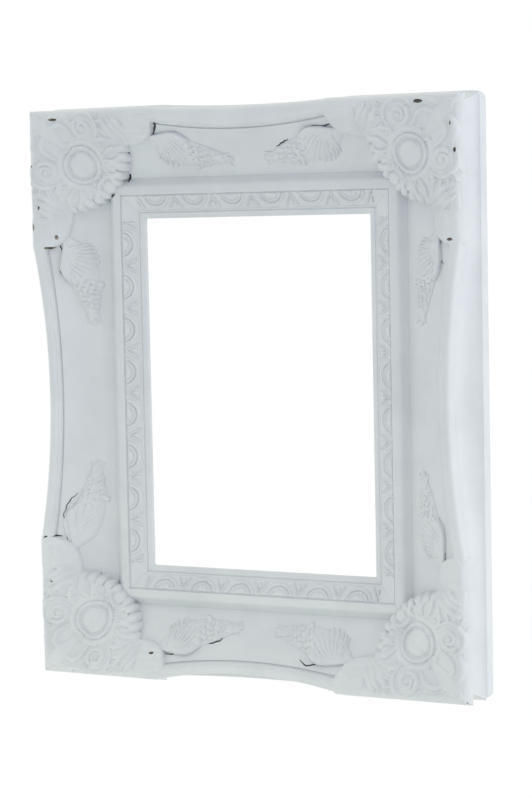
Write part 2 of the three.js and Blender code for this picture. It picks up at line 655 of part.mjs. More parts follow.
// The strap of a hanger: two layers of sheet with an eye, and its hinge on the Z axis at X 0.
function strapSolid() {
  const eye = RING_WIRE_RADIUS + TURN_CLEARANCE + STRAP_SHEET;
  const layers = 2 * STRAP_SHEET;
  const shape = new THREE.Shape();
  shape.moveTo(-STRAP_SCREW_SPACING - 4, eye);
  shape.lineTo(0, eye);
  shape.absarc(0, 0, eye, Math.PI / 2, -Math.PI, true);
  shape.quadraticCurveTo(-eye, eye - layers, -eye - 1, eye - layers);
  shape.lineTo(-STRAP_SCREW_SPACING - 4, eye - layers);
  const bore = new THREE.Path();
  bore.absarc(0, 0, RING_WIRE_RADIUS + TURN_CLEARANCE, 0, 2 * Math.PI);
  shape.holes.push(bore);
  const geometry = new THREE.ExtrudeGeometry(shape, { depth: STRAP_WIDTH, bevelEnabled: false, curveSegments: 8 });
  geometry.translate(0, 0, -STRAP_WIDTH / 2);
  geometry.rotateX(Math.PI);
  geometry.translate(0, -RING_DEPTH, 0);
  return drilled(toSolid(geometry), -STRAP_SCREW_SPACING, 0, SCREW_SHANK_RADIUS + TURN_CLEARANCE, 0, BACK_RECESS + 1);
}

// The D shaped ring: a straight bar in the eye and a bow away from it.
function ringSolid() {
  const outline = [];
  const bend = RING_HALF_WIDTH - 1;
  for (let i = 0; i <= 8; i++) {
    const angle = -Math.PI / 2 + (Math.PI * i) / 8;
    outline.push([RING_REACH - bend + bend * Math.cos(angle), RING_HALF_WIDTH * Math.sin(angle)]);
  }
  outline.push([0.6, RING_HALF_WIDTH], [0, RING_HALF_WIDTH - 0.8], [0, 0]);
  outline.push([0, -RING_HALF_WIDTH + 0.8], [0.6, -RING_HALF_WIDTH]);
  const count = outline.length;
  const sides = 6;
  const positions = [];
  const index = [];
  outline.forEach(([x, z], i) => {
    const [px, pz] = outline[(i + count - 1) % count];
    const [nx, nz] = outline[(i + 1) % count];
    const along = new THREE.Vector3(nx - px, 0, nz - pz).normalize();
    const across = along.clone().cross(FORWARD);
    for (let k = 0; k < sides; k++) {
      const angle = (2 * Math.PI * k) / sides;
      const spot = new THREE.Vector3(x, -RING_DEPTH, z)
        .addScaledVector(across, RING_WIRE_RADIUS * Math.cos(angle))
        .addScaledVector(FORWARD, RING_WIRE_RADIUS * Math.sin(angle));
      positions.push(spot.x, spot.y, spot.z);
      const a = i * sides + k;
      const b = i * sides + ((k + 1) % sides);
      const c = ((i + 1) % count) * sides + k;
      const d = ((i + 1) % count) * sides + ((k + 1) % sides);
      index.push(a, b, d, a, d, c);
    }
  });
  const geometry = new THREE.BufferGeometry();
  geometry.setAttribute('position', new THREE.Float32BufferAttribute(positions, 3));
  geometry.setIndex(index);
  return toSolid(geometry);
}

// Corner wedges driven from the back across each mitre.
function vNailSolid(inset, play) {
  const half = V_NAIL_SHEET / 2 + play;
  const leg = V_NAIL_LEG + play;
  const shape = new THREE.Shape([
    point(-half, -half), point(leg, -half), point(leg, half), point(half, half), point(half, leg), point(-half, leg),
  ]);
  const geometry = prism(shape, BACK_RECESS - play, BACK_RECESS + V_NAIL_HEIGHT + play);
  geometry.translate(inset, 0, inset);
  return toSolid(geometry);
}

function atCorner(geometry, corner) {
  geometry.rotateY((corner.turn * Math.PI) / 2);
  geometry.translate(corner.x, 0, corner.z);
  return geometry;
}

// Materials
const paint = new THREE.MeshStandardMaterial({ color: 0xe4e6e8, roughness: 0.5, metalness: 0 });
const castingPaint = new THREE.MeshStandardMaterial({ color: 0xe8eaec, roughness: 0.45, metalness: 0 });
const zinc = new THREE.MeshStandardMaterial({ color: 0xb9bcc0, roughness: 0.35, metalness: 1 });
const brassed = new THREE.MeshStandardMaterial({ color: 0xc9a65a, roughness: 0.35, metalness: 1 });

const frame = new THREE.Group();

function addPiece(name, geometry, material) {
  const mesh = new THREE.Mesh(geometry, material.clone());
  mesh.name = name;
  frame.add(mesh);
  return mesh;
}

// Rails, and what is drilled or pressed into their backs
const LONG_SIDES = ['left', 'right'];

function faceRail(name) {
  const side = SIDES[name];
  let rail = railSolid(faceSection(), side);
  for (const inset of V_NAIL_INSETS) {
    for (const [end, quarter] of [[-side.half, 0], [side.half, -1]]) {
      const pocket = toGeometry(vNailSolid(inset, SEAT_GAP));
      pocket.rotateY((quarter * Math.PI) / 2);
      pocket.translate(end, 0, -side.outer);
      rail = rail.subtract(toSolid(pocket));
    }
  }
  const pilot = SCREW_SHANK_RADIUS + SEAT_GAP;
  const pilotEnd = BACK_RECESS + SCREW_LENGTH + SEAT_GAP;
  rail = drilled(rail, 0, BUTTON_INSET - side.outer, pilot, BACK_RECESS - 1, pilotEnd);
  if (LONG_SIDES.includes(name)) {
    const along = name === 'left' ? -HANGER_HEIGHT : HANGER_HEIGHT;
    rail = drilled(rail, along, STRAP_SCREW_INSET - side.outer, pilot, BACK_RECESS - 1, pilotEnd);
  }
  return rail;
}

function roundedOutline(overhang, radius) {
  const width = HALF_WIDTH + overhang;
  const height = HALF_HEIGHT + overhang;
  const shape = new THREE.Shape();
  shape.moveTo(-width + radius, -height);
  shape.lineTo(width - radius, -height);
  shape.absarc(width - radius, -height + radius, radius, -Math.PI / 2, 0);
  shape.absarc(width - radius, height - radius, radius, 0, Math.PI / 2);
  shape.absarc(-width + radius, height - radius, radius, Math.PI / 2, Math.PI);
  shape.absarc(-width + radius, -height + radius, radius, Math.PI, 1.5 * Math.PI);
  return toSolid(prism(shape, -1, CUT_DEPTH, 4));
}

const plinthEnvelope = roundedOutline(PLINTH_OVERHANG, PLINTH_CORNER_RADIUS);

for (const [name, side] of Object.entries(SIDES)) {
  const plinth = turned(railSolid(plinthSection(), side), side);
  addPiece(`plinth_${name}`, toGeometry(toSolid(plinth).intersect(plinthEnvelope)), paint);
  addPiece(`face_rail_${name}`, turned(faceRail(name), side), paint);
  const slip = union([railSolid(slipSection(), side), ...patternSolids(side)]);
  addPiece(`slip_${name}`, turned(slip, side), paint);
  for (const [end, sign] of [['start', -1], ['end', 1]]) {
    addPiece(`spray_${name}_${end}`, turned(spraySolid(side, sign), side), castingPaint);
  }
}

const casting = castingSolid();
for (const [name, corner] of Object.entries(CORNERS)) {
  addPiece(`corner_casting_${name}`, atCorner(toGeometry(casting), corner), castingPaint);
}

for (const [name, corner] of Object.entries(CORNERS)) {
  V_NAIL_INSETS.forEach((inset, i) => {
    addPiece(`v_nail_${name}_${i + 1}`, atCorner(toGeometry(vNailSolid(inset, 0)), corner), zinc);
  });
}

// Turn buttons, one at the middle of each rail
for (const [name, side] of Object.entries(SIDES)) {
  const move = (geometry) => {
    geometry.translate(0, 0, BUTTON_INSET - side.outer);
    geometry.rotateY((side.turn * Math.PI) / 2);
    return geometry;
  };
  addPiece(`turn_button_${name}`, move(toGeometry(buttonSolid())), brassed);
  const screw = toGeometry(toSolid(screwGeometry(BUTTON_SEAT - BUTTON_SHEET - TURN_CLEARANCE)));
  addPiece(`turn_button_screw_${name}`, move(screw), brassed);
}

// Ring hangers, one on the back of each long rail
for (const name of LONG_SIDES) {
  const place = (geometry, inset) => {
    geometry.translate(inset - HALF_WIDTH, 0, 0);
    if (name === 'right') geometry.rotateY(Math.PI);
    geometry.translate(0, 0, HANGER_HEIGHT);
    return geometry;
  };
  addPiece(`hanger_strap_${name}`, place(toGeometry(strapSolid()), HINGE_INSET), zinc);
  addPiece(`hanger_ring_${name}`, place(toGeometry(ringSolid()), HINGE_INSET), zinc);
  const screw = toGeometry(toSolid(screwGeometry(STRAP_BACK - TURN_CLEARANCE)));
  addPiece(`hanger_screw_${name}`, place(screw, STRAP_SCREW_INSET), zinc);
}

export default frame;
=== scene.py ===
# Swept picture frame: painted moulding, corner castings, panel sprays and back hardware.

import math

import bmesh
import bpy
import numpy as np
from mathutils import Matrix, Vector


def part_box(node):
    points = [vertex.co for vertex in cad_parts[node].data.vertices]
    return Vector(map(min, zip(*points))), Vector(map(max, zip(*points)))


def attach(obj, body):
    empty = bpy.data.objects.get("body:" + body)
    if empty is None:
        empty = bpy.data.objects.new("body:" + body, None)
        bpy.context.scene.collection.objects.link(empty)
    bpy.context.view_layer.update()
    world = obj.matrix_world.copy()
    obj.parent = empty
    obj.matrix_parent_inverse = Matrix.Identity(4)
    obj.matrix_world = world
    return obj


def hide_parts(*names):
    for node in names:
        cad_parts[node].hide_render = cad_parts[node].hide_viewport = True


bl_info = {
    "name": "Swept picture frame",
    "version": (1, 0, 0),
    "blender": (4, 5, 0),
    "location": "View3D > Sidebar > Frame",
    "description": "Builds a white swept picture frame with carved corners round its fixed solids",
    "category": "Object",
}

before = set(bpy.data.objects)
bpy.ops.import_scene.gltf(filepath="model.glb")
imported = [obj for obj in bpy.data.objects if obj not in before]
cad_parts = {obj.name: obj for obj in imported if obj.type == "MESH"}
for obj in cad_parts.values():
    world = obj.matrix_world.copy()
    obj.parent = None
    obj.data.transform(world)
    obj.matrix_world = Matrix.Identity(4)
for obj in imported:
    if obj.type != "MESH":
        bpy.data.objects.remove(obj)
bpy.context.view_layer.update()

# Sizes in millimetres, in the frame's own axes: X right, Z up, depth forwards from the back
HALF_WIDTH = 114.5
HALF_HEIGHT = 140.0
PLINTH_OVERHANG = 1.4
PLINTH_WIDTH = 15.4
PLINTH_DEPTH = 8.6
PLINTH_ARRIS = 1.3
PLINTH_CORNER_RADIUS = 4.0
# How far the top and bottom plinths are planed hollow
PLINTH_SAG = 1.8
BACK_RECESS = 3.6
RIM_WIDTH = 6.9
# How boxy the rim's bead is: 2 is a plain ellipse
RIM_FULLNESS = 2.5
# How deep the outer edge of each rim bows, as a share of the bow of its inner line
EDGE_SHARES = {"top": 0.36, "bottom": 1.24, "left": 1.1, "right": 0.98}
RIM_SIDE_DEPTH = 25.0
RIM_FOOT_DEPTH = 26.2
RIM_CREST_DEPTH = 30.0
RIM_TO_SLIP = 34.0
RIM_TO_REBATE = 50.0
LIP_EDGE = 54.0
COVE_HOLLOW = 3.4
COVE_FLARE = 1.0
PANEL_HOLLOW = 1.3
GROOVE_DEPTH = 10.5
SLIP_SEAT_DEPTH = 6.7
SLIP_FRONT_DEPTH = 14.6
LIP_FRONT_DEPTH = 10.4
LIP_BACK_DEPTH = 7.8
PATTERN_START = 42.3
PATTERN_WIDTH = 7.2
ARCH_HALF_WIDTH = 7.4
ARCH_HEIGHT = 6.5
MITRE_LINE = 0.03
SIDE_NAMES = ("bottom", "right", "top", "left")
CORNER_SIGNS = {
    "bottom_left": (-1, -1), "bottom_right": (1, -1), "top_right": (1, 1), "top_left": (-1, 1),
}
# Each side runs from its start corner to its end corner, with a spray near both
SPRAY_NODES = {}
for turn, side_name in enumerate(SIDE_NAMES):
    arm_name = "up" if side_name in ("left", "right") else "across"
    for end_name, step_on in (("start", 0), ("end", 1)):
        corner_name = list(CORNER_SIGNS)[(turn + step_on) % 4]
        SPRAY_NODES[corner_name, arm_name] = f"spray_{side_name}_{end_name}"


# Sizes and colours that a user would change

class SweptFrameSizes(bpy.types.PropertyGroup):
    rise_long: bpy.props.FloatProperty(
        name="Bow of the long rims", description="How far the left and right rims bow inwards",
        default=0.0066, min=0.0, max=0.012, unit="LENGTH")
    rise_short: bpy.props.FloatProperty(
        name="Bow of the short rims", description="How far the top and bottom rims bow inwards",
        default=0.005, min=0.0, max=0.01, unit="LENGTH")
    chord_long: bpy.props.FloatProperty(
        name="Half length of a long bow", description="Half of the stretch that bows on a long rim",
        default=0.072, min=0.02, max=0.1, unit="LENGTH")
    chord_short: bpy.props.FloatProperty(
        name="Half length of a short bow", description="Half of the stretch that bows on a short rim",
        default=0.051, min=0.02, max=0.08, unit="LENGTH")
    arch_pitch: bpy.props.FloatProperty(
        name="Arch pitch", description="Distance between two arches of the sight pattern",
        default=0.021, min=0.01, max=0.04, unit="LENGTH")
    arch_relief: bpy.props.FloatProperty(
        name="Arch relief", description="How far the sight pattern stands out of its band",
        default=0.00095, min=0.0, max=0.0015, unit="LENGTH")
    relief_step: bpy.props.FloatProperty(
        name="Carving step", description="Distance between two points of a carved surface",
        default=0.0004, min=0.0002, max=0.002, unit="LENGTH")


class SweptFramePaint(bpy.types.PropertyGroup):
    paint: bpy.props.FloatVectorProperty(
        name="Paint", description="Satin white paint of the whole frame",
        default=(0.69, 0.72, 0.745), size=3, min=0.0, max=1.0, subtype="COLOR")
    shade: bpy.props.FloatVectorProperty(
        name="Thin paint", description="Where the paint lies thin and a little grey",
        default=(0.60, 0.625, 0.655), size=3, min=0.0, max=1.0, subtype="COLOR")
    composition: bpy.props.FloatVectorProperty(
        name="Moulded composition", description="What shows where the paint has chipped",
        default=(0.30, 0.25, 0.19), size=3, min=0.0, max=1.0, subtype="COLOR")
    # Near-black for the ribbons laid in the open joints: painted shadow that stands in for the shade inside
    # each gap
    painted_joint_shadow: bpy.props.FloatVectorProperty(
        name="Joint shadow", description="Painted shadow inside the open joint between a casting and its rail",
        default=(0.035, 0.035, 0.04), size=3, min=0.0, max=1.0, subtype="COLOR")
    brass: bpy.props.FloatVectorProperty(
        name="Brass plating", description="Turn buttons and their screws",
        default=(0.78, 0.60, 0.28), size=3, min=0.0, max=1.0, subtype="COLOR")
    zinc: bpy.props.FloatVectorProperty(
        name="Zinc plating", description="Hangers, their screws and the corner nails",
        default=(0.62, 0.63, 0.65), size=3, min=0.0, max=1.0, subtype="COLOR")


class SweptFrameStage(bpy.types.PropertyGroup):
    sky: bpy.props.FloatProperty(
        name="Sky", description="Strength of the light from all round", default=0.97, min=0.0)
    window: bpy.props.FloatProperty(
        name="Window", description="Power of the wide lamp on the right", default=4.4, min=0.0, unit="POWER")
    fill: bpy.props.FloatProperty(
        name="Fill", description="Power of the wide lamp in front on the left",
        default=2.1, min=0.0, unit="POWER")
    glow: bpy.props.FloatProperty(
        name="Glow", description="Power of the wide lamp that grazes the frame from the left",
        default=0.9, min=0.0, unit="POWER")
    floor_drop: bpy.props.FloatProperty(
        name="Floor drop", description="How far the floor lies below the middle of the hung frame",
        default=0.5, min=0.15, unit="LENGTH")
    floor: bpy.props.FloatVectorProperty(
        name="Floor", description="Colour of the floor", default=(0.9, 0.9, 0.9), size=3,
        min=0.0, max=1.0, subtype="COLOR")


def sizes():
    return bpy.context.scene.swept_frame_sizes


def paint():
    return bpy.context.scene.swept_frame_paint


def stage_look():
    return bpy.context.scene.swept_frame_stage


# Meshes and pieces

def shown_object(name, data):
    made = bpy.data.objects.new(name, data)
    bpy.context.scene.collection.objects.link(made)
    return made


def new_piece(name, mesh, material, nodes, body="frame"):
    """A shown piece that rides on a body and stands for the solids it names."""
    piece = shown_object(name, mesh)
    mesh.materials.clear()
    mesh.materials.append(material)
    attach(piece, body)
    if nodes:
        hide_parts(*nodes)
    return piece


def finished_mesh(name, bm, sharp_degrees=40):
    """A closed mesh in metres, with its faces turned out and its arrises kept crisp."""
    bmesh.ops.remove_doubles(bm, verts=bm.verts, dist=1e-3)
    bmesh.ops.dissolve_degenerate(bm, edges=bm.edges, dist=1e-4)
    bmesh.ops.recalc_face_normals(bm, faces=bm.faces)
    bmesh.ops.transform(bm, matrix=Matrix.Scale(0.001, 4), verts=bm.verts)
    mesh = bpy.data.meshes.new(name)
    bm.to_mesh(mesh)
    bm.free()
    mesh.polygons.foreach_set("use_smooth", [True] * len(mesh.polygons))
    mesh.set_sharp_from_angle(angle=math.radians(sharp_degrees))
    mesh.update()
    return mesh


def mesh_from_lists(name, points, faces, sharp_degrees=40):
    rough = bpy.data.meshes.new(name + "_rough")
    rough.from_pydata([tuple(p) for p in points], [], faces)
    bm = bmesh.new()
    bm.from_mesh(rough)
    bpy.data.meshes.remove(rough)
    return finished_mesh(name, bm, sharp_degrees)


def ring_loft(rings):
    """Points and faces of a closed tube through rings of equal count, with both ends capped."""
    count = len(rings[0])
    points = [tuple(p) for ring in rings for p in ring]
    faces = []
    for r in range(len(rings) - 1):
        for i in range(count):
            a = r * count + i
            b = r * count + (i + 1) % count
            faces.append((a, b, b + count, a + count))
    faces.append(tuple(range(count)))
    faces.append(tuple(reversed(range((len(rings) - 1) * count, len(rings) * count))))
    return points, faces


def ripple(points, wave, seed):
    """A smooth uneven surface between -1 and 1, from crossed sine waves."""
    total = np.zeros(len(points))
    for k in range(5):
        angle = 1.1 + 2.4 * k + seed
        turn = np.array([math.cos(angle), math.sin(angle)])
        total += np.sin(points @ turn * (2 * math.pi / wave) * (1 + 0.23 * k) + 1.7 * k + 3.1 * seed)
    return total / 3


# Where things lie on the frame

def side_facts(name):
    tall = name in ("left", "right")
    return {
        "name": name,
        "half": HALF_HEIGHT if tall else HALF_WIDTH,
        "outer": HALF_WIDTH if tall else HALF_HEIGHT,
        "rise": 1000 * (sizes().rise_long if tall else sizes().rise_short),
        "chord": 1000 * (sizes().chord_long if tall else sizes().chord_short),
    }


def bow(side, along):
    """How far the rim bows inwards at a place along its side."""
    radius = (side["chord"] ** 2 + side["rise"] ** 2) / (2 * side["rise"])
    arc = np.sqrt(np.maximum(radius ** 2 - along ** 2, 0)) - (radius - side["rise"])
    return np.where(np.abs(along) < side["chord"], arc, 0)


def place_on_side(side, along, inset, depth):
    away = side["outer"] - inset
    x, z = {
        "bottom": (along, -away), "top": (along, away), "left": (-away, along), "right": (away, along),
    }[side["name"]]
    return np.stack([x, -depth, z], axis=-1)


def place_at_corner(corner, arm, along, inset, depth):
    """A point by its distance along an arm from the corner, its inset and its depth."""
    right, up = CORNER_SIGNS[corner]
    a, b = (along, inset) if arm == "across" else (inset, along)
    return np.stack([right * (HALF_WIDTH - a), -depth, up * (HALF_HEIGHT - b)], axis=-1)


def panel_depth(share):
    fall = (GROOVE_DEPTH - RIM_FOOT_DEPTH) * share
    return RIM_FOOT_DEPTH + fall - PANEL_HOLLOW * np.sin(math.pi * share)


# The small bead and the quirk at the rim's foot: distance past the rim, and rise over its foot
SMALL_BEAD = [
    (-1.2, 2.6), (-1.0, 2.4), (-0.8, 2.45), (-0.5, 2.3), (-0.25, 1.8), (-0.1, 0.9), (0.05, -0.8),
    (0.35, -1.05), (0.75, -0.8),
]


def face_profile(side):
    """The face rail's section as inset, depth and the share of the bow that each point follows."""
    cove_back = PLINTH_DEPTH + 0.3
    short = side["name"] in ("top", "bottom")
    edge = EDGE_SHARES[side["name"]]
    rows = []
    for t in np.linspace(0, 0.97, 22):
        inset = -COVE_FLARE * (1 - t) + COVE_HOLLOW * math.sin(math.pi * t) ** 0.8
        follows = edge if short else edge * min(1, 1.25 * t)
        rows.append((inset, cove_back + (RIM_SIDE_DEPTH - cove_back) * t, follows))
    half = (RIM_WIDTH - 0.4) / 2
    for degrees in np.linspace(0, 136, 18):
        angle = math.radians(degrees)
        share = (1 - abs(math.cos(angle)) ** RIM_FULLNESS) ** (1 / RIM_FULLNESS)
        rise = (RIM_CREST_DEPTH - RIM_SIDE_DEPTH) * share
        across = (1 - math.cos(angle)) / 2
        rows.append((2 * half * across, RIM_SIDE_DEPTH + rise, edge + (1 - edge) * min(1, 1.15 * across)))
    rows += [(RIM_WIDTH + beyond, RIM_FOOT_DEPTH + rise, 1) for beyond, rise in SMALL_BEAD]
    for t in np.linspace(0.03, 1, 26):
        rows.append((RIM_WIDTH + (RIM_TO_SLIP + 0.28 - RIM_WIDTH) * t, panel_depth(t), (1 - t) ** 1.5))
    over_plinth = PLINTH_WIDTH - PLINTH_OVERHANG + 0.3
    rows += [(RIM_TO_SLIP + 0.28, SLIP_SEAT_DEPTH, 0), (RIM_TO_REBATE, SLIP_SEAT_DEPTH, 0)]
    rows += [(RIM_TO_REBATE, BACK_RECESS, 0), (over_plinth, BACK_RECESS, 0), (over_plinth, cove_back, 0)]
    return np.array(rows)


def rounded(corners, radius, steps):
    """The same closed outline with each corner cut by a short round."""
    rows = []
    count = len(corners)
    for i in range(count):
        before, here, after = (np.array(corners[(i + k) % count][:2], float) for k in (-1, 0, 1))
        back = before - here
        ahead = after - here
        cut = min(radius, 0.45 * np.linalg.norm(back), 0.45 * np.linalg.norm(ahead))
        start = here + back / np.linalg.norm(back) * cut
        stop = here + ahead / np.linalg.norm(ahead) * cut
        for t in np.linspace(0, 1, steps):
            rows.append((1 - t) ** 2 * start + 2 * t * (1 - t) * here + t * t * stop)
    return np.array([(p[0], p[1], 0) for p in rows])


def slip_profile():
    """The slip's section: outer slope, fillet, pattern band, two small beads and sight lip."""
    band_end = PATTERN_START + PATTERN_WIDTH
    slip = RIM_TO_SLIP
    front = SLIP_FRONT_DEPTH
    low = LIP_FRONT_DEPTH
    outer = [
        (slip + 0.3, SLIP_SEAT_DEPTH + 0.3), (slip + 0.3, GROOVE_DEPTH - 0.1), (slip + 0.3, GROOVE_DEPTH),
        (slip + 1.4, GROOVE_DEPTH + 0.9), (slip + 3.3, front - 1.0), (slip + 4.3, front - 0.35),
        (PATTERN_START - 0.45, front), (PATTERN_START - 0.05, front - 0.25),
        (PATTERN_START + 0.05, front - 1.2), (PATTERN_START + 0.35, front - 1.25),
        (PATTERN_START + 0.65, front - 0.88),
    ]
    lip = [
        (band_end, low + 0.5), (band_end + 0.3, low + 0.28), (band_end + 0.6, low + 0.5),
        (band_end + 1.1, low + 0.45), (band_end + 1.3, low - 0.3), (band_end + 1.55, low - 0.3),
        (band_end + 1.85, low + 0.05), (LIP_EDGE - 0.6, low - 0.5), (LIP_EDGE, low - 1.1),
        (LIP_EDGE, LIP_BACK_DEPTH), (RIM_TO_REBATE + 0.3, LIP_BACK_DEPTH),
        (RIM_TO_REBATE + 0.3, SLIP_SEAT_DEPTH + 0.3),
    ]
    soft = rounded(outer + lip, 0.4, 4)
    start = np.argmin(np.hypot(soft[:, 0] - outer[-1][0], soft[:, 1] - outer[-1][1]))
    stop = np.argmin(np.hypot(soft[:, 0] - band_end, soft[:, 1] - low - 0.5))
    band = np.linspace(soft[start + 1], soft[stop - 1], 26)
    return np.concatenate([soft[:start + 1], band, soft[stop:]])


def plinth_profile(side):
    outer = -PLINTH_OVERHANG
    share = PLINTH_SAG / side["rise"] if side["name"] in ("top", "bottom") else 0
    inner = PLINTH_WIDTH - PLINTH_OVERHANG
    rows = [(inner, 0, 0)]
    for centre_depth, start in ((PLINTH_ARRIS, -90), (PLINTH_DEPTH - PLINTH_ARRIS, -180)):
        for k in range(7):
            angle = math.radians(start - 15 * k)
            inset = outer + PLINTH_ARRIS + PLINTH_ARRIS * math.cos(angle)
            rows.append((inset, centre_depth + PLINTH_ARRIS * math.sin(angle), share))
    rows.append((inner, PLINTH_DEPTH, 0))
    return np.array(rows)


def arch_pattern(side, along, inset):
    """Height of the arches, their cores and the darts between them, on the slip's band."""
    pitch = 1000 * sizes().arch_pitch
    count = math.floor(2 * (side["half"] - PATTERN_START - PATTERN_WIDTH) / pitch)
    shift = 0.5 * pitch * (count % 2 == 0)
    x = np.abs(along - shift - pitch * np.round((along - shift) / pitch))
    used = np.abs(along) < pitch * count / 2 + 0.3
    v = inset - PATTERN_START
    oval = np.hypot(x / ARCH_HALF_WIDTH, v / ARCH_HEIGHT)
    line = lambda gap, half: np.clip(1 - (gap / half) ** 2, 0, 1)
    height = line(oval - 0.92, 0.12)
    height = np.maximum(height, 0.85 * line(oval - 0.68, 0.09))
    core = np.clip(1 - (oval / 0.5) ** 2, 0, 1) ** 0.5
    height = np.maximum(height, 1.15 * core * (0.8 + 0.2 * np.cos(x * 2.6)))
    away = pitch / 2 - x
    dart = np.abs(away - 0.55 * np.maximum(v - 0.8, 0)) / 0.62
    height = np.maximum(height, np.where((v > 0.8) & (v < 6.7), line(dart, 1), 0))
    seed = np.hypot(away / 1.0, (v - 4.9) / 1.5)
    height = np.maximum(height, 0.9 * np.clip(1 - seed ** 2, 0, 1) ** 0.5)
    edge = np.clip((v - 0.6) / 0.5, 0, 1) * np.clip((PATTERN_WIDTH - v) / 0.5, 0, 1)
    return 1000 * sizes().arch_relief * height * edge * used


def round_plinth_corner(points):
    """Pulls the outermost points of a mitre back onto the rounded corner of the plinth."""
    wide = HALF_WIDTH + PLINTH_OVERHANG - PLINTH_CORNER_RADIUS
    tall = HALF_HEIGHT + PLINTH_OVERHANG - PLINTH_CORNER_RADIUS
    over = np.stack([np.abs(points[..., 0]) - wide, np.abs(points[..., 2]) - tall], axis=-1)
    far = np.linalg.norm(over, axis=-1)
    square = over.max(axis=-1)
    hit = (over.min(axis=-1) > 0) & (far > 1e-6)
    pull = np.where(hit, square / np.where(hit, far, 1), 1)
    for axis, k, limit in ((0, 0, wide), (2, 1, tall)):
        sign = np.sign(points[..., axis])
        points[..., axis] = np.where(hit, sign * (limit + over[..., k] * pull), points[..., axis])
    return points


def rail_mesh(name, profile, side, step, relief=None, soften=None):
    """A mitred rail: its section carried along the side, bowed, and carved where relief says."""
    reach = side["half"] - profile[:, 0] - MITRE_LINE
    middle = side["chord"]
    inner = np.linspace(-middle, middle, max(int(2 * middle / step), 2) + 1)[:, None] + 0 * reach
    spread = np.linspace(0, 1, max(int((side["half"] - middle) / step), 2) + 1)[:, None]
    outer = middle + (reach - middle) * spread
    along = np.concatenate([-outer[::-1], inner[1:-1], outer])
    inset = profile[:, 0] + profile[:, 2] * bow(side, along)
    depth = profile[:, 1] + 0 * along
    if relief:
        tangent = np.roll(profile, -1, axis=0)[:, :2] - np.roll(profile, 1, axis=0)[:, :2]
        tangent /= np.linalg.norm(tangent, axis=1)[:, None] + 1e-9
        height = relief(side, along, inset)
        inset = inset - height * tangent[:, 1]
        depth = depth + height * tangent[:, 0]
    points = place_on_side(side, along, inset, depth)
    if soften:
        points = soften(points)
    count = len(profile)
    rows = len(along)
    k, i = np.meshgrid(np.arange(rows - 1), np.arange(count), indexing="ij")
    j = (i + 1) % count
    quads = np.stack([k * count + i, k * count + j, (k + 1) * count + j, (k + 1) * count + i], axis=-1)
    faces = [tuple(q) for q in quads.reshape(-1, 4).tolist()]
    faces.append(tuple(range(count)))
    faces.append(tuple(reversed(range((rows - 1) * count, rows * count))))
    return mesh_from_lists(name, points.reshape(-1, 3), faces)


# Carving: forms on a plan, each with a footprint and a height

def curve_through(spots, steps=7):
    """A smooth path through a few spots."""
    spots = np.array(spots, float)
    if len(spots) < 3:
        return spots
    ends = np.concatenate([[2 * spots[0] - spots[1]], spots, [2 * spots[-1] - spots[-2]]])
    path = []
    for p0, p1, p2, p3 in zip(ends, ends[1:], ends[2:], ends[3:]):
        for t in np.linspace(0, 1, steps, endpoint=False):
            path.append(0.5 * (2 * p1 + (p2 - p0) * t + (2 * p0 - 5 * p1 + 4 * p2 - p3) * t * t
                               + (3 * p1 - p0 - 3 * p2 + p3) * t ** 3))
    path.append(spots[-1])
    return np.array(path)


def arc_path(centre, radius, start, stop, steps, end_radius=None):
    """Part of a circle, or of a spiral where the end radius differs."""
    share = np.linspace(0, 1, steps)
    angle = np.radians(start + (stop - start) * share)
    size = radius + ((radius if end_radius is None else end_radius) - radius) * share
    return np.stack([centre[0] + size * np.cos(angle), centre[1] + size * np.sin(angle)], axis=-1)


def nearest_on(spots, start, way):
    """Share along a straight part of a path that lies nearest to each spot, and the way from there."""
    share = np.clip((spots - start) @ way / max(way @ way, 1e-9), 0, 1)
    return share, spots - start - share[:, None] * way


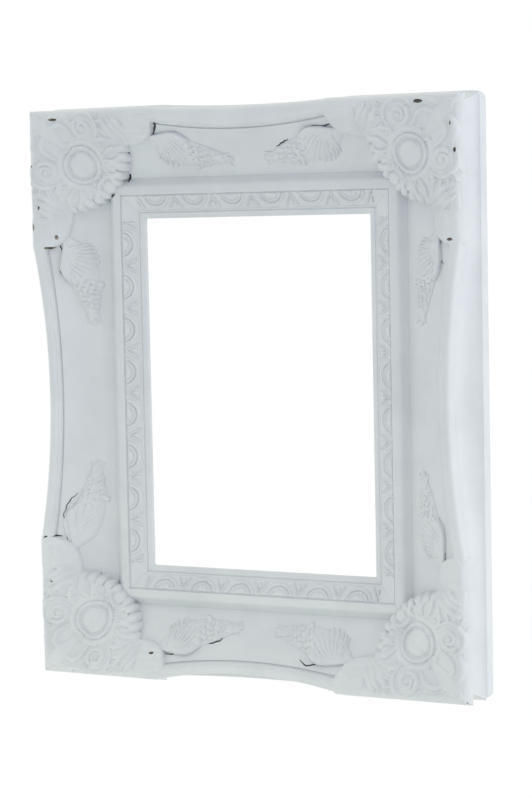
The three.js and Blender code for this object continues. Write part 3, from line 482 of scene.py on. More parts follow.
class Carving:
    """The relief over a set of plan points: how far inside a form each lies, and how high."""

    def __init__(self, points, ease=0.5):
        self.points = points
        self.ease = ease
        self.inside = np.full(len(points), -9.0)
        self.height = np.zeros(len(points))

    def add(self, inside, height, where=slice(None)):
        self.inside[where] = np.maximum(self.inside[where], inside)
        self.height[where] = np.maximum(self.height[where], np.where(inside > 0, height, 0))

    def near(self, low, high, margin):
        return np.flatnonzero(np.all((self.points > low - margin) & (self.points < high + margin), axis=1))

    def ridge(self, path, widths, heights, veins=0, vein_depth=0.0, ease=None):
        """A rounded bar along a path; veins cut it lengthwise."""
        path = np.asarray(path, float)
        margin = max(widths) + 2.5
        where = self.near(path.min(0), path.max(0), margin)
        spots = self.points[where]
        gap = np.full(len(where), 1e9)
        aside = np.zeros(len(where))
        share = np.zeros(len(where))
        steps = np.linalg.norm(np.diff(path, axis=0), axis=1)
        walked = np.concatenate([[0], np.cumsum(steps)]) / steps.sum()
        for k, (p, q) in enumerate(zip(path, path[1:])):
            way = q - p
            t, off = nearest_on(spots, p, way)
            far = np.linalg.norm(off, axis=1)
            closer = far < gap
            gap = np.where(closer, far, gap)
            cross = way[0] * off[:, 1] - way[1] * off[:, 0]
            aside = np.where(closer, np.sign(cross) * far, aside)
            share = np.where(closer, walked[k] + t * (walked[k + 1] - walked[k]), share)
        width = np.interp(share, np.linspace(0, 1, len(widths)), widths)
        height = np.interp(share, np.linspace(0, 1, len(heights)), heights)
        rise = height * np.clip(1 - (gap / width) ** 2.0, 0, 1) ** (ease or self.ease)
        if veins:
            wave = 0.5 + 0.5 * np.cos(math.pi * veins * aside / width)
            rise = rise - vein_depth * wave * np.clip(1.3 - gap / width, 0, 1)
        self.add(width - gap, rise, where)

    def bar(self, spots, widths, heights, **extra):
        """A ridge along a smooth path through a few spots."""
        self.ridge(curve_through(spots), widths, heights, **extra)

    def dome(self, centre, radius, height, power=2.0):
        centre = np.array(centre, float)
        where = self.near(centre, centre, radius + 2.5)
        far = np.linalg.norm(self.points[where] - centre, axis=1)
        self.add(radius - far, height * np.clip(1 - (far / radius) ** power, 0, 1) ** self.ease, where)

    def slab(self, outline, height):
        """A flat form inside a closed outline."""
        outline = np.asarray(outline, float)
        where = self.near(outline.min(0), outline.max(0), 3.0)
        spots = self.points[where]
        gap = np.full(len(where), 1e9)
        within = np.zeros(len(where), bool)
        for p, q in zip(outline, np.roll(outline, -1, axis=0)):
            way = q - p
            gap = np.minimum(gap, np.linalg.norm(nearest_on(spots, p, way)[1], axis=1))
            crosses = (p[1] > spots[:, 1]) != (q[1] > spots[:, 1])
            reach = p[0] + (spots[:, 1] - p[1]) * (q[0] - p[0]) / (q[1] - p[1] + 1e-12)
            within ^= crosses & (spots[:, 0] < reach)
        self.add(np.where(within, gap, -gap), height, where)


def carved_mesh(name, low, high, carve, surface, under, place, tuck):
    """A closed mesh of the carved ground inside its forms, walled down to what it lies on."""
    step = 1000 * sizes().relief_step
    across = np.arange(low[0], high[0] + step, step)
    up = np.arange(low[1], high[1] + step, step)
    a, b = np.meshgrid(across, up, indexing="ij")
    grid = np.stack([a, b], axis=-1).reshape(-1, 2)
    inside = carve(grid).inside.reshape(a.shape)
    slope_a, slope_b = np.gradient(inside, step)
    steep = np.maximum(slope_a ** 2 + slope_b ** 2, 0.2)
    held = inside > 0
    near = np.zeros_like(held)
    for da in (-1, 0, 1):
        for db in (-1, 0, 1):
            near |= np.roll(np.roll(held, da, axis=0), db, axis=1)
    edge = near & ~held
    pull = np.clip(-inside / steep, 0, 1.2 * step)
    a = np.where(edge, a + pull * slope_a, a)
    b = np.where(edge, b + pull * slope_b, b)
    a = np.clip(a, low[0], high[0])
    b = np.clip(b, low[1], high[1])
    kept = held[:-1, :-1] | held[1:, :-1] | held[1:, 1:] | held[:-1, 1:]
    number = np.arange(a.size).reshape(a.shape)
    quads = np.stack([number[:-1, :-1], number[1:, :-1], number[1:, 1:], number[:-1, 1:]], axis=-1)[kept]
    used, quads = np.unique(quads, return_inverse=True)
    quads = quads.reshape(-1, 4)
    plan = np.stack([a.ravel()[used], b.ravel()[used]], axis=-1)
    carving = carve(plan)
    top = surface(plan, carving)
    base = np.minimum(under(plan) - 0.5, top - 0.2)
    edges = {}
    for quad in quads.tolist():
        for p, q in zip(quad, quad[1:] + quad[:1]):
            key = (p, q) if p < q else (q, p)
            edges[key] = edges.get(key, 0) + 1
    count = len(plan)
    foot = tuck(plan)
    points = np.concatenate([place(plan[:, 0], plan[:, 1], top), place(foot[:, 0], foot[:, 1], base)])
    faces = [tuple(q) for q in quads.tolist()]
    faces += [tuple(reversed([p + count for p in q])) for q in quads.tolist()]
    faces += [(p, q, q + count, p + count) for (p, q), uses in edges.items() if uses == 1]
    return mesh_from_lists(name, points, faces, 50)


# The corner casting, on a plan folded about the mitre: first value along the arm, second inset

CASTING_OUTLINE = [
    (0, 0), (68.4, 0), (69.6, 3.2), (69.0, 7), (67.0, 11.5), (64.6, 15.0), (60, 17.2), (55, 18.3),
    (50.8, 18.4), (48.0, 19.6), (46.6, 23.6), (45.0, 28.0), (43.2, 31.8), (41.4, 35.2), (39.4, 37.6),
    (39.2, 39.2), (20, 39.2), (0, 20),
]
PAD_SQUARE = [
    (0, 26.6), (0.6, 28.3), (1.6, 29.7), (4, 30.9), (9, 29.6), (14, 27.4), (26.5, 22.2), (38, 16.9),
    (42, 15.6), (70, 15.6),
]
PAD_ARM = [
    (0, 26.4), (0.6, 27.9), (1.6, 29.2), (4, 30.4), (9, 28.4), (14, 24.2), (18, 21.0), (22, 18.8),
    (30, 15.6), (42, 15.0), (70, 15.0),
]
# How far the casting stands past the side of the rail, and over what length its forms shift back
SIDE_OVERHANG = 1.1
OVERHANG_FADE = 6
CARVING_LIFT = 0.76
CASTING_REACH = 70.0
CASTING_ROUND_EDGE = 0.9
BOSS = (27.0, 27.0)
BOSS_RADIUS = 6.7
BOSS_HEIGHT = 3.9
BOSS_RING_RADIUS = 8.4
BELT_RADIUS = 11.0
BELT_HALF_WIDTH = 1.9
VOLUTE = (30.5, 9.4)
VOLUTE_TEETH = 6
TONGUE_START = 52.5
TONGUE_END = 68.6
TONGUE_MIDDLE = 8.6
TONGUE_HALF_WIDTH = 10.5
# Bars of the casting: spots, widths, heights, number of veins and their depth
CASTING_BARS = [
    # Scrolls that run out to the corner leaf, and the leaf
    ([(24.5, 14), (21, 9), (16.5, 7.4), (13, 9.5), (14, 12.4)], [0.9, 1.5, 1.6, 1.1],
     [1.5, 2.1, 2.1, 1.6], 0, 0),
    ([(23, 4.2), (18.5, 2.8), (13, 3.6), (9.5, 6.2)], [0.9, 1.7, 1.5, 0.8], [1.0, 1.9, 1.7, 1.0], 0, 0),
    ([(3.8, 3.8), (9, 9), (17.5, 17.5)], [2.2, 4.6, 1.8], [1.2, 2.0, 1.6], 0, 0),
    ([(14.5, 18.5), (18.5, 20.5), (21.0, 18.6), (20.5, 16.4)], [0.9, 1.2, 0.9], [1.5, 2.1, 1.6], 0, 0),
    # Short curls beside the acanthus
    ([(34.5, 17.0), (38.5, 14.8), (44, 15.6)], [0.9, 1.5, 0.9], [1.6, 2.3, 1.3], 0, 0),
    ([(33.4, 38.9), (34.4, 35.6), (36.6, 33.6)], [0.9, 1.2, 0.9], [1.6, 2.1, 1.5], 0, 0),
    # Slanted veined blades across the arm
    ([(40.5, 3.8), (43.6, 9.5), (49.2, 17.2)], [0.9, 2.4, 1.0], [1.4, 2.6, 1.4], 3, 0.45),
    ([(43.8, 3.2), (47, 8.3), (52.2, 15.8)], [0.9, 2.4, 1.0], [1.3, 2.5, 1.3], 3, 0.45),
    ([(46.5, 2.8), (49.5, 7), (53.5, 12.5)], [0.9, 2.0, 0.9], [1.2, 2.1, 1.1], 2, 0.3),
]
# Tips of the acanthus: place, radius and height
LEAF_TIPS = [
    ((48.5, 19.5), 2.2, 1.7), ((47.7, 23.8), 2.4, 2.0), ((46.2, 28.2), 2.6, 2.2), ((44.1, 32.5), 2.3, 2.0),
    ((41.9, 36.0), 2.1, 2.0),
]


def folded(plan):
    """Distance along the nearer arm and across it, measured from the casting's own outer edges."""
    wide = plan[:, 0] + SIDE_OVERHANG * np.exp(-(plan[:, 0] + SIDE_OVERHANG) / OVERHANG_FADE)
    return np.stack([np.maximum(wide, plan[:, 1]), np.minimum(wide, plan[:, 1])], axis=-1)


def casting_carving(plan, corner_seed):
    """Every form of the casting. Its two arms mirror each other about the mitre."""
    fold = folded(plan)
    made = Carving(fold, 0.7)
    made.slab(CASTING_OUTLINE, 0.2)
    away = fold - BOSS
    far = np.linalg.norm(away, axis=1)
    turn = np.arctan2(away[:, 1], away[:, 0])
    made.dome(BOSS, 9.6, 0.9, power=6)
    made.add(BOSS_RADIUS - far, BOSS_HEIGHT * np.clip(1 - (far / BOSS_RADIUS) ** 2.2, 0, 1) ** 0.5)
    made.ridge(arc_path(BOSS, BOSS_RING_RADIUS, 0, 360, 40), [1.1], [2.6], ease=0.6)
    # Short flutes on the side of the boss that faces the sight
    facing = np.clip(1.6 - np.abs(turn - math.pi / 4) / 0.75, 0, 1)
    flutes = 1 - facing * (0.3 - 0.3 * np.cos(44 * turn))
    off_belt = far - BELT_RADIUS
    belt = np.clip(1 - (off_belt / BELT_HALF_WIDTH) ** 2, 0, 1) ** 0.6
    made.add(BELT_HALF_WIDTH - np.abs(off_belt), (1.0 + 0.9 * facing) * belt * flutes)
    # Volute on the rim, the arc that wraps it and a row of teeth
    made.dome(VOLUTE, 7.4, 0.8)
    made.ridge(arc_path(VOLUTE, 4.9, 215, -190, 36, 2.1), [1.4, 1.5, 1.2], [2.2, 2.1, 1.9])
    made.dome(VOLUTE, 1.6, 2.1)
    made.ridge(arc_path(VOLUTE, 7.7, -150, 50, 22), [0.8, 1.3, 1.3, 0.8], [1.4, 2.1, 2.0, 1.2])
    for k in range(VOLUTE_TEETH):
        ends = [arc_path(VOLUTE, radius, start + 21 * k, start + 21 * k, 2)[0]
                for radius, start in ((9.2, -62), (11.6, -58))]
        made.ridge(ends, [0.7, 0.95], [1.5, 1.8])
    for spots, widths, heights, veins, vein_depth in CASTING_BARS:
        made.bar(spots, widths, heights, veins=veins, vein_depth=vein_depth)
    made.dome((38.0, 38.0), 3.3, 2.4)
    # Acanthus: a stem runs from the boss to each leaf tip, and the tips scallop the sight edge
    for k, (tip, radius, rise) in enumerate(LEAF_TIPS):
        made.dome(tip, radius, rise)
        tip = np.array(tip)
        way = (tip - BOSS) / np.linalg.norm(tip - BOSS)
        bend = 1.3 * np.array([-way[1], way[0]])
        first = np.array(BOSS) + 12.2 * way
        middle = (first + tip) / 2 + (bend if k % 2 else -bend)
        made.bar([first, middle, tip], [0.9, 1.6, 1.5], [1.6, 2.5, 1.9], veins=2, vein_depth=0.4)
    # Tongue: a pillow with faint ribs along it and a small worn motif near its end
    along, inset = fold.T
    pillow = np.clip((along - TONGUE_START) / 2.2, 0, 1) * np.clip((TONGUE_END - along) / 3.2, 0, 1)
    ribs = 0.26 * np.cos((inset - 9) * 2 * math.pi / 3.1) * np.clip((66.5 - along) / 3, 0, 1)
    belly = np.clip(1 - ((inset - TONGUE_MIDDLE) / TONGUE_HALF_WIDTH) ** 2, 0, 1) ** 0.5
    on_arm = (along > TONGUE_START) & (inset < 18)
    made.add(np.where(on_arm, np.minimum(made.inside, 0.4), -9.0), pillow ** 0.5 * (0.4 + 1.5 * belly + ribs))
    for k in range(3):
        worn = [(60.2 + 1.5 * k, 8.6 + 1.1 * k), (62.0 + 1.5 * k, 11.6 + 0.9 * k)]
        made.ridge(worn, [0.55, 0.75], [2.1, 2.0])
    made.height += 0.1 * ripple(plan, 9.0, corner_seed) + 0.05 * ripple(plan, 3.1, corner_seed + 2)
    return made


def casting_surface(plan, carving):
    along, inset = folded(plan).T
    blend = np.clip((along - 42) / 12, 0, 1)
    blend = blend * blend * (3 - 2 * blend)
    square = np.interp(inset, *np.array(PAD_SQUARE).T)
    arm = np.interp(inset, *np.array(PAD_ARM).T)
    ground = square + (arm - square) * blend - 0.9
    short = CASTING_ROUND_EDGE - np.clip(carving.inside, 0, CASTING_ROUND_EDGE)
    drop = CASTING_ROUND_EDGE - np.sqrt(CASTING_ROUND_EDGE ** 2 - short ** 2)
    outer = np.clip((2.5 - inset) / 2.5, 0, 1)
    return ground + CARVING_LIFT * carving.height * (1 - 0.55 * outer ** 2) - drop * (1 - outer)


def rail_front(inset):
    """Depth of the plain moulding's front at an inset, where the rim doesn't bow."""
    half = (RIM_WIDTH - 0.4) / 2
    lobe = np.clip(1 - np.abs(1 - inset / half) ** 2, 0, 1) ** 0.5
    bead = RIM_SIDE_DEPTH + (RIM_CREST_DEPTH - RIM_SIDE_DEPTH) * lobe
    panel = panel_depth(np.clip((inset - RIM_WIDTH) / (RIM_TO_SLIP - RIM_WIDTH), 0, 1))
    slip = np.interp(inset, [RIM_TO_SLIP, RIM_TO_SLIP + 4, PATTERN_START, 49.5],
                     [GROOVE_DEPTH, SLIP_FRONT_DEPTH, SLIP_FRONT_DEPTH, 11])
    front = np.where(inset < RIM_WIDTH - 1, bead, panel)
    return np.where(inset < RIM_TO_SLIP, front, slip)


# Sprays on the panels, on a plan of the distance from the corner and the inset

def bowed_panel(side, along_from_corner, inset):
    """Depth of the panel under a spray, with the bow of its rim."""
    shift = bow(side, side["half"] - along_from_corner)
    share = np.clip((inset - RIM_WIDTH) / (RIM_TO_SLIP - RIM_WIDTH), 0, 1)
    for _ in range(12):
        moved = inset - RIM_WIDTH - np.maximum(1 - share, 0) ** 1.5 * shift
        share = np.clip(moved / (RIM_TO_SLIP - RIM_WIDTH), 0, 1)
    return panel_depth(share)


SPRAY_FIELD = ((62.0, 8.0), (109.0, 33.5))
SPRAY_THICKNESS = 0.35
SPRAY_ROOT = (64.0, 14.6)
BUD_ROWS = 9
BUD_PITCH = 2.5
FAN_ENDS = [(66.0, 24.5), (69.5, 27.4), (75.0, 28.6), (80.5, 26.6), (84.2, 22.0), (84.6, 17.0)]


def spray_carving(plan, kind, seed):
    """A low body with fine ribs fanned from the tongue, run out into a tapering cluster of berries."""
    root = np.array(SPRAY_ROOT)
    body = Carving(plan)
    body.bar([(63, 15.4), (74, 20.0), (86, 23.4), (105, 26.6)], [1.6, 6.0, 6.9, 6.3, 5.2, 3.4, 1.4],
             [1.0, 1.7, 1.9, 1.8, 1.6, 1.3, 0.8], ease=0.7)
    body.bar([(63, 14.8), (72, 15.2), (80, 15.4), (84.5, 19.6)], [1.2, 2.0, 2.3, 2.2],
             [1.1, 1.9, 2.2, 1.8], ease=0.6)
    fine = Carving(plan)
    if kind == "fan":
        ends = curve_through(FAN_ENDS, 4)
        ends = ends[np.linspace(0, len(ends) - 1, 11).round().astype(int)]
        for k, end in enumerate(ends):
            share = k / (len(ends) - 1)
            lift = np.array((2.6 - 1.2 * share, -3.4 + 0.9 * share))
            middle = root + 0.52 * (end - root) + lift
            width = 0.62 + 0.25 * share
            fine.bar([root, middle, end], [0.3, width, 1.1 * width], [0.3, 0.85, 0.75], ease=0.7)
    else:
        for start, middle, tip in (
            ((66, 13.0), (75, 12.2), (84.5, 15.0)), ((68, 15.6), (77, 15.0), (87.5, 18.6)),
            ((71, 18.2), (80, 18.4), (91, 22.0)),
        ):
            fine.bar([start, middle, tip], [0.8, 1.6, 0.8], [0.5, 0.8, 0.4], ease=0.8)
        for k in range(10):
            base = np.array((65.5 + 3.1 * k, 16.2 + 1.0 * k))
            tip = base + (10.5 - 0.45 * k, 9.6 - 0.72 * k)
            bend = 0.5 * (base + tip) + (1.4, -1.2)
            fine.bar([base, bend, tip], [0.4, 0.8, 0.5], [0.4, 0.65, 0.3], ease=0.8)
    for r in range(BUD_ROWS):
        t = r / (BUD_ROWS - 1)
        spread = 6.4 * (1 - t) ** 0.8 + 0.5
        count = max(1, round(2 * spread / BUD_PITCH))
        for j in range(count):
            away = (j - (count - 1) / 2) * BUD_PITCH
            sway = 0.35 * math.sin(5.1 * r + 2.7 * j + seed)
            size = 1.3 - 0.35 * t + 0.14 * math.sin(2.3 * r + 4.1 * j + seed)
            centre = (84.0 + 19.5 * t + 0.35 * away + sway, 23.6 + 3.4 * t + away + 0.5 * sway)
            fine.dome(centre, size, 1.15 - 0.3 * t)
    for lean in (-3.2, -0.2, 2.6):
        fine.ridge([(98.5, 26.0 + 0.3 * lean), (105.0, 26.8 + lean)], [0.8, 0.45], [0.6, 0.35], ease=0.8)
    body.inside = np.maximum(body.inside, fine.inside)
    body.height += fine.height
    body.height += 0.07 * ripple(plan, 5.3, seed) + 0.04 * ripple(plan, 2.3, seed + 1)
    return body


# Finishes

def wire(tree, node, values, feeds):
    """Sets a node's input values and links its inputs to the outputs that feed them."""
    for key, value in values.items():
        node.inputs[key].default_value = value
    for key, (source, output) in feeds.items():
        tree.links.new(source.outputs[output], node.inputs[key])


def add_node(tree, kind, values=None, feeds=None, **settings):
    """A new shader node with its settings, its input values and its links."""
    made = tree.nodes.new("ShaderNode" + kind)
    for key, value in settings.items():
        setattr(made, key, value)
    wire(tree, made, values or {}, feeds or {})
    return made


def math_node(tree, operation, values, feeds):
    return add_node(tree, "Math", values, feeds, operation=operation)


def mix_colours(tree, values, feeds):
    return add_node(tree, "Mix", values, feeds, data_type="RGBA")


def skin_group(name, inputs):
    """A shader group that puts out a colour, a roughness and a normal, with its entry and exit."""
    group = bpy.data.node_groups.new(name, "ShaderNodeTree")
    for label, kind, value in inputs:
        made = group.interface.new_socket(name=label, in_out="INPUT", socket_type="NodeSocket" + kind)
        made.default_value = value
    for label, kind in (("Colour", "Color"), ("Roughness", "Float"), ("Normal", "Vector")):
        group.interface.new_socket(name=label, in_out="OUTPUT", socket_type="NodeSocket" + kind)
    return group, group.nodes.new("NodeGroupInput"), group.nodes.new("NodeGroupOutput")


def painted_skin_group():
    """Satin paint: thin and thick patches, fine roller grain and chips down to the composition."""
    name = "Painted skin"
    if name in bpy.data.node_groups:
        return bpy.data.node_groups[name]
    group, entry, leave = skin_group(name, [
        ("Paint", "Color", (0.7, 0.72, 0.75, 1)), ("Thin paint", "Color", (0.6, 0.62, 0.65, 1)),
        ("Chip", "Color", (0.3, 0.25, 0.2, 1)), ("Chip mask", "Float", 0.0), ("Grain size", "Float", 900.0),
        ("Grain depth", "Float", 0.00003), ("Gloss", "Float", 0.42)])
    spot = {"Vector": (add_node(group, "TexCoord"), "Object")}
    # Thin and thick patches
    patches = add_node(group, "TexNoise", {"Scale": 38.0, "Detail": 5.0, "Roughness": 0.6}, spot)
    spread = add_node(group, "MapRange", {"From Min": 0.42, "From Max": 0.72, "To Max": 0.55},
                      {"Value": (patches, "Fac")})
    coat = mix_colours(group, {}, {
        "Factor": (spread, "Result"), "A": (entry, "Paint"), "B": (entry, "Thin paint")})
    # Chips with ragged edges; near-black specks in them are painted shade standing in for pits
    ragged = add_node(group, "TexNoise", {"Scale": 900.0, "Detail": 3.0}, spot)
    sway = math_node(group, "MULTIPLY_ADD", {1: 0.7, 2: -0.35}, {0: (ragged, "Fac")})
    bare = math_node(group, "ADD", {}, {0: (entry, "Chip mask"), 1: (sway, "Value")})
    cut = add_node(group, "MapRange", {"From Min": 0.45, "From Max": 0.55}, {"Value": (bare, "Value")})
    pits = add_node(group, "TexNoise", {"Scale": 420.0}, spot)
    pit_shade_mask = add_node(group, "MapRange", {"From Min": 0.4, "From Max": 0.56}, {"Value": (pits, "Fac")})
    pit_shade = mix_colours(group, {"B": (0.03, 0.028, 0.03, 1)}, {
        "Factor": (pit_shade_mask, "Result"), "A": (entry, "Chip")})
    chipped = mix_colours(group, {}, {"Factor": (cut, "Result"), "A": (coat, "Result"), "B": (pit_shade, "Result")})
    # Patches are duller where the paint is thin, and chips are duller still
    rough = math_node(group, "MULTIPLY_ADD", {1: 0.16}, {0: (patches, "Fac"), 2: (entry, "Gloss")})
    dull = math_node(group, "MULTIPLY_ADD", {1: 0.35}, {0: (cut, "Result"), 2: (rough, "Value")})
    # Roller grain, sunk where the paint is gone
    grain = add_node(group, "TexNoise", {"Detail": 4.0, "Roughness": 0.55}, {
        **spot, "Scale": (entry, "Grain size")})
    lower = math_node(group, "MULTIPLY_ADD", {1: -3.0}, {0: (cut, "Result"), 2: (grain, "Fac")})
    bump = add_node(group, "Bump", {"Strength": 1.0}, {
        "Height": (lower, "Value"), "Distance": (entry, "Grain depth")})
    wire(group, leave, {}, {
        "Colour": (chipped, "Result"), "Roughness": (dull, "Value"), "Normal": (bump, "Normal")})
    return group


def plated_skin_group():
    """Plated sheet and wire: faint scratches, dull patches and a soft grain."""
    name = "Plated skin"
    if name in bpy.data.node_groups:
        return bpy.data.node_groups[name]
    group, entry, leave = skin_group(name, [("Metal", "Color", (0.7, 0.7, 0.7, 1)), ("Gloss", "Float", 0.25)])
    spot = {"Vector": (add_node(group, "TexCoord"), "Object")}
    cloud = add_node(group, "TexNoise", {"Scale": 420.0, "Detail": 4.0}, spot)
    stretch = add_node(group, "Mapping", {"Scale": (300.0, 300.0, 6000.0)}, spot)
    lines = add_node(group, "TexNoise", {"Scale": 1.0, "Detail": 2.0}, {"Vector": (stretch, "Vector")})
    tone = add_node(group, "MapRange", {"To Min": 0.78, "To Max": 1.08}, {"Value": (cloud, "Fac")})
    tinted = add_node(group, "VectorMath", {}, {
        0: (entry, "Metal"), "Scale": (tone, "Result")}, operation="SCALE")
    rough = math_node(group, "MULTIPLY_ADD", {1: 0.3}, {0: (cloud, "Fac"), 2: (entry, "Gloss")})
    bump = add_node(group, "Bump", {"Distance": 0.00002, "Strength": 0.5}, {"Height": (lines, "Fac")})
    wire(group, leave, {}, {
        "Colour": (tinted, "Vector"), "Roughness": (rough, "Value"), "Normal": (bump, "Normal")})
    return group


def finish(name, group, values, metallic=0.0, chip_attribute=None):
    """A material whose skin comes from a shared group and whose constants sit on the shader."""
    if name in bpy.data.materials:
        return bpy.data.materials[name]
    material = bpy.data.materials.new(name)
    material.use_nodes = True
    tree = material.node_tree
    chips = {}
    if chip_attribute:
        chips["Chip mask"] = (add_node(tree, "Attribute", attribute_name=chip_attribute), "Fac")
    skin = add_node(tree, "Group", values, chips, node_tree=group)
    wire(tree, tree.nodes["Principled BSDF"], {"Metallic": metallic}, {
        "Base Color": (skin, "Colour"), "Roughness": (skin, "Roughness"), "Normal": (skin, "Normal")})
    return material


def solid_colour(colour):
    return (*colour, 1.0)


def painted(name, top, thin, grain_size, grain_depth, gloss, chip_attribute=None):
    """Paint over the moulded composition."""
    return finish(name, painted_skin_group(), {
        "Paint": solid_colour(top), "Thin paint": solid_colour(thin),
        "Chip": solid_colour(paint().composition), "Grain size": grain_size,
        "Grain depth": grain_depth, "Gloss": gloss}, chip_attribute=chip_attribute)


def wood_paint():
    return painted("moulding_paint", paint().paint, paint().shade, 700.0, 0.00002, 0.36)


def casting_paint():
    return painted("casting_paint", paint().paint, paint().shade, 1100.0, 0.00004, 0.42, "chip")


def painted_joint_shadow_finish():
    # Painted shadow: near-black paint on the ribbons that stand for the shade inside the open joints
    dark = paint().painted_joint_shadow
    return painted("painted_joint_shadow_strip", dark, [3 * c for c in dark], 900.0, 0.00002, 0.8)


def plated(name, colour, gloss):
    return finish(name, plated_skin_group(), {"Metal": solid_colour(colour), "Gloss": gloss}, 1.0)


def brass_finish():
    return plated("brass_plating", paint().brass, 0.18)


def zinc_finish():
    return plated("zinc_plating", paint().zinc, 0.28)


# Chips in the paint of each corner: distance from its upright edge and from its level edge, and half sizes
CHIPS = {
    "top_left": [
        (14.6, 4.8, 2.0, 0.6), (50.0, 4.0, 0.55, 0.55), (9.2, 67.6, 2.3, 0.6), (0.6, 27.0, 1.4, 0.6),
        (1.6, 57.2, 0.9, 1.5), (5.2, 47.8, 0.4, 0.9), (12.4, 62.4, 0.6, 1.0),
    ],
    "top_right": [
        (20.0, 3.6, 2.2, 0.8), (45.5, 2.6, 1.6, 0.6), (2.4, 26.0, 0.5, 1.2), (5.6, 66.3, 1.4, 0.7),
        (4.6, 14.0, 0.4, 0.9),
    ],
    "bottom_left": [
        (6.6, 46.4, 0.7, 0.5), (7.0, 69.0, 2.6, 0.45), (17.6, 0.9, 0.8, 1.0), (60.2, 13.0, 1.2, 0.5),
    ],
    "bottom_right": [
        (0.9, 1.4, 0.5, 0.5), (24.0, 1.2, 1.4, 0.5),
    ],
}
# Open joints on each arm of a corner, where dark ribbons paint the shadow inside the gap: points by distance
# along the arm and inset, and width
PAINTED_JOINT_SHADOWS = {
    ("top_left", "across"): [
        ([(69.6, 6.6), (69.2, 9.5), (66.2, 13.6)], 0.62),
        ([(65.6, 14.6), (70.5, 14.7), (77.5, 14.0)], 0.44),
        ([(49.9, 19.6), (49.2, 21.4), (49.4, 25.4)], 0.55),
        ([(47.2, 31.8), (46.6, 33.4), (46.2, 35.6)], 0.7),
    ],
    ("top_left", "up"): [
        ([(41.8, 39.6), (42.9, 37.6), (43.2, 35.2)], 0.5),
        ([(63.0, 13.6), (66.5, 12.4), (70.5, 13.2), (79.5, 12.6)], 0.24),
        ([(79.5, 12.6), (83.0, 14.8), (85.5, 18.6), (90.0, 20.4), (98.5, 22.4)], 0.24),
        ([(57.8, 14.2), (61.5, 14.6), (63.6, 13.2)], 0.3),
    ],
    ("top_right", "across"): [
        ([(64.8, 10.6), (69.6, 12.6), (76.6, 12.8), (80.4, 15.6)], 0.34),
        ([(91.0, 18.2), (94.5, 19.6), (98.0, 21.4)], 0.34), ([(67.6, 5.6), (68.2, 8.4)], 0.36),
    ],
    ("top_right", "up"): [
        ([(61.4, 16.4), (63.4, 13.2), (66.8, 12.8)], 0.6),
        ([(66.8, 12.8), (71.0, 14.0), (75.0, 13.6), (77.4, 11.2)], 0.34),
        ([(99.5, 23.6), (101.5, 24.6), (103.6, 27.2)], 0.4),
    ],
    ("bottom_right", "up"): [
        ([(62.6, 12.0), (66.0, 13.6), (69.6, 13.4)], 0.5),
        ([(89.0, 20.4), (91.4, 21.4), (96.0, 21.4)], 0.42), ([(44.6, 33.4), (44.9, 30.0)], 0.4),
    ],
    ("bottom_right", "across"): [
        ([(66.0, 15.6), (75.0, 14.2), (84.5, 12.4), (88.5, 14.6)], 0.3),
        ([(66.6, 16.8), (73.0, 21.0), (81.0, 27.0)], 0.22),
    ],
    ("bottom_left", "across"): [
        ([(58.8, 12.6), (60.8, 13.8)], 0.5),
        ([(64.5, 12.2), (71.0, 12.8), (78.0, 15.8), (86.0, 18.0)], 0.3),
        ([(86.0, 18.0), (94.0, 19.6), (97.6, 22.8)], 0.32),
    ],
    ("bottom_left", "up"): [
        ([(68.4, 2.6), (69.0, 5.6), (68.6, 9.8)], 0.5), ([(64.0, 12.2), (70.0, 12.0), (79.5, 11.2)], 0.26),
        ([(79.5, 11.2), (86.0, 13.8), (90.0, 17.4)], 0.2),
        ([(49.6, 17.4), (48.8, 21.4), (49.2, 26.6)], 0.26),
    ],
}


def chip_mask(corner, plan):
    """How bare the paint is at each plan point of a casting."""
    mask = np.zeros(len(plan))
    for across, up, half_width, half_height in CHIPS[corner]:
        far = np.linalg.norm((plan - (across, up)) / (half_width, half_height), axis=1)
        mask = np.maximum(mask, np.clip(1.6 - far, 0, 1))
    return mask


# Operators, one for each piece or group of like pieces

def add_rails(shown, node, section, step, **shaping):
    """Four mitred rails of one section, one for each side."""
    for name in SIDE_NAMES:
        side = side_facts(name)
        mesh = rail_mesh(f"{shown}_{name}", section(side), side, step, **shaping)
        new_piece(f"{shown}_{name}", mesh, wood_paint(), [f"{node}_{name}"])


class SWEPTFRAME_OT_plinth(bpy.types.Operator):
    """Four flat rear rails with rounded arrises"""
    bl_idname = "sweptframe.plinth"
    bl_label = "Plinth rails"

    def execute(self, context):
        add_rails("plinth_rail", "plinth", plinth_profile, 2.0, soften=round_plinth_corner)
        return {"FINISHED"}


class SWEPTFRAME_OT_face(bpy.types.Operator):
    """Four bowed face rails: cove, rim bead and hollow panel"""
    bl_idname = "sweptframe.face"
    bl_label = "Face rails"

    def execute(self, context):
        add_rails("swept_rail", "face_rail", face_profile, 1.6)
        return {"FINISHED"}


class SWEPTFRAME_OT_slip(bpy.types.Operator):
    """Four slips with arches and darts round the sight"""
    bl_idname = "sweptframe.slip"
    bl_label = "Patterned slips"

    def execute(self, context):
        add_rails("sight_slip", "slip", lambda side: slip_profile(), 0.42, relief=arch_pattern)
        return {"FINISHED"}


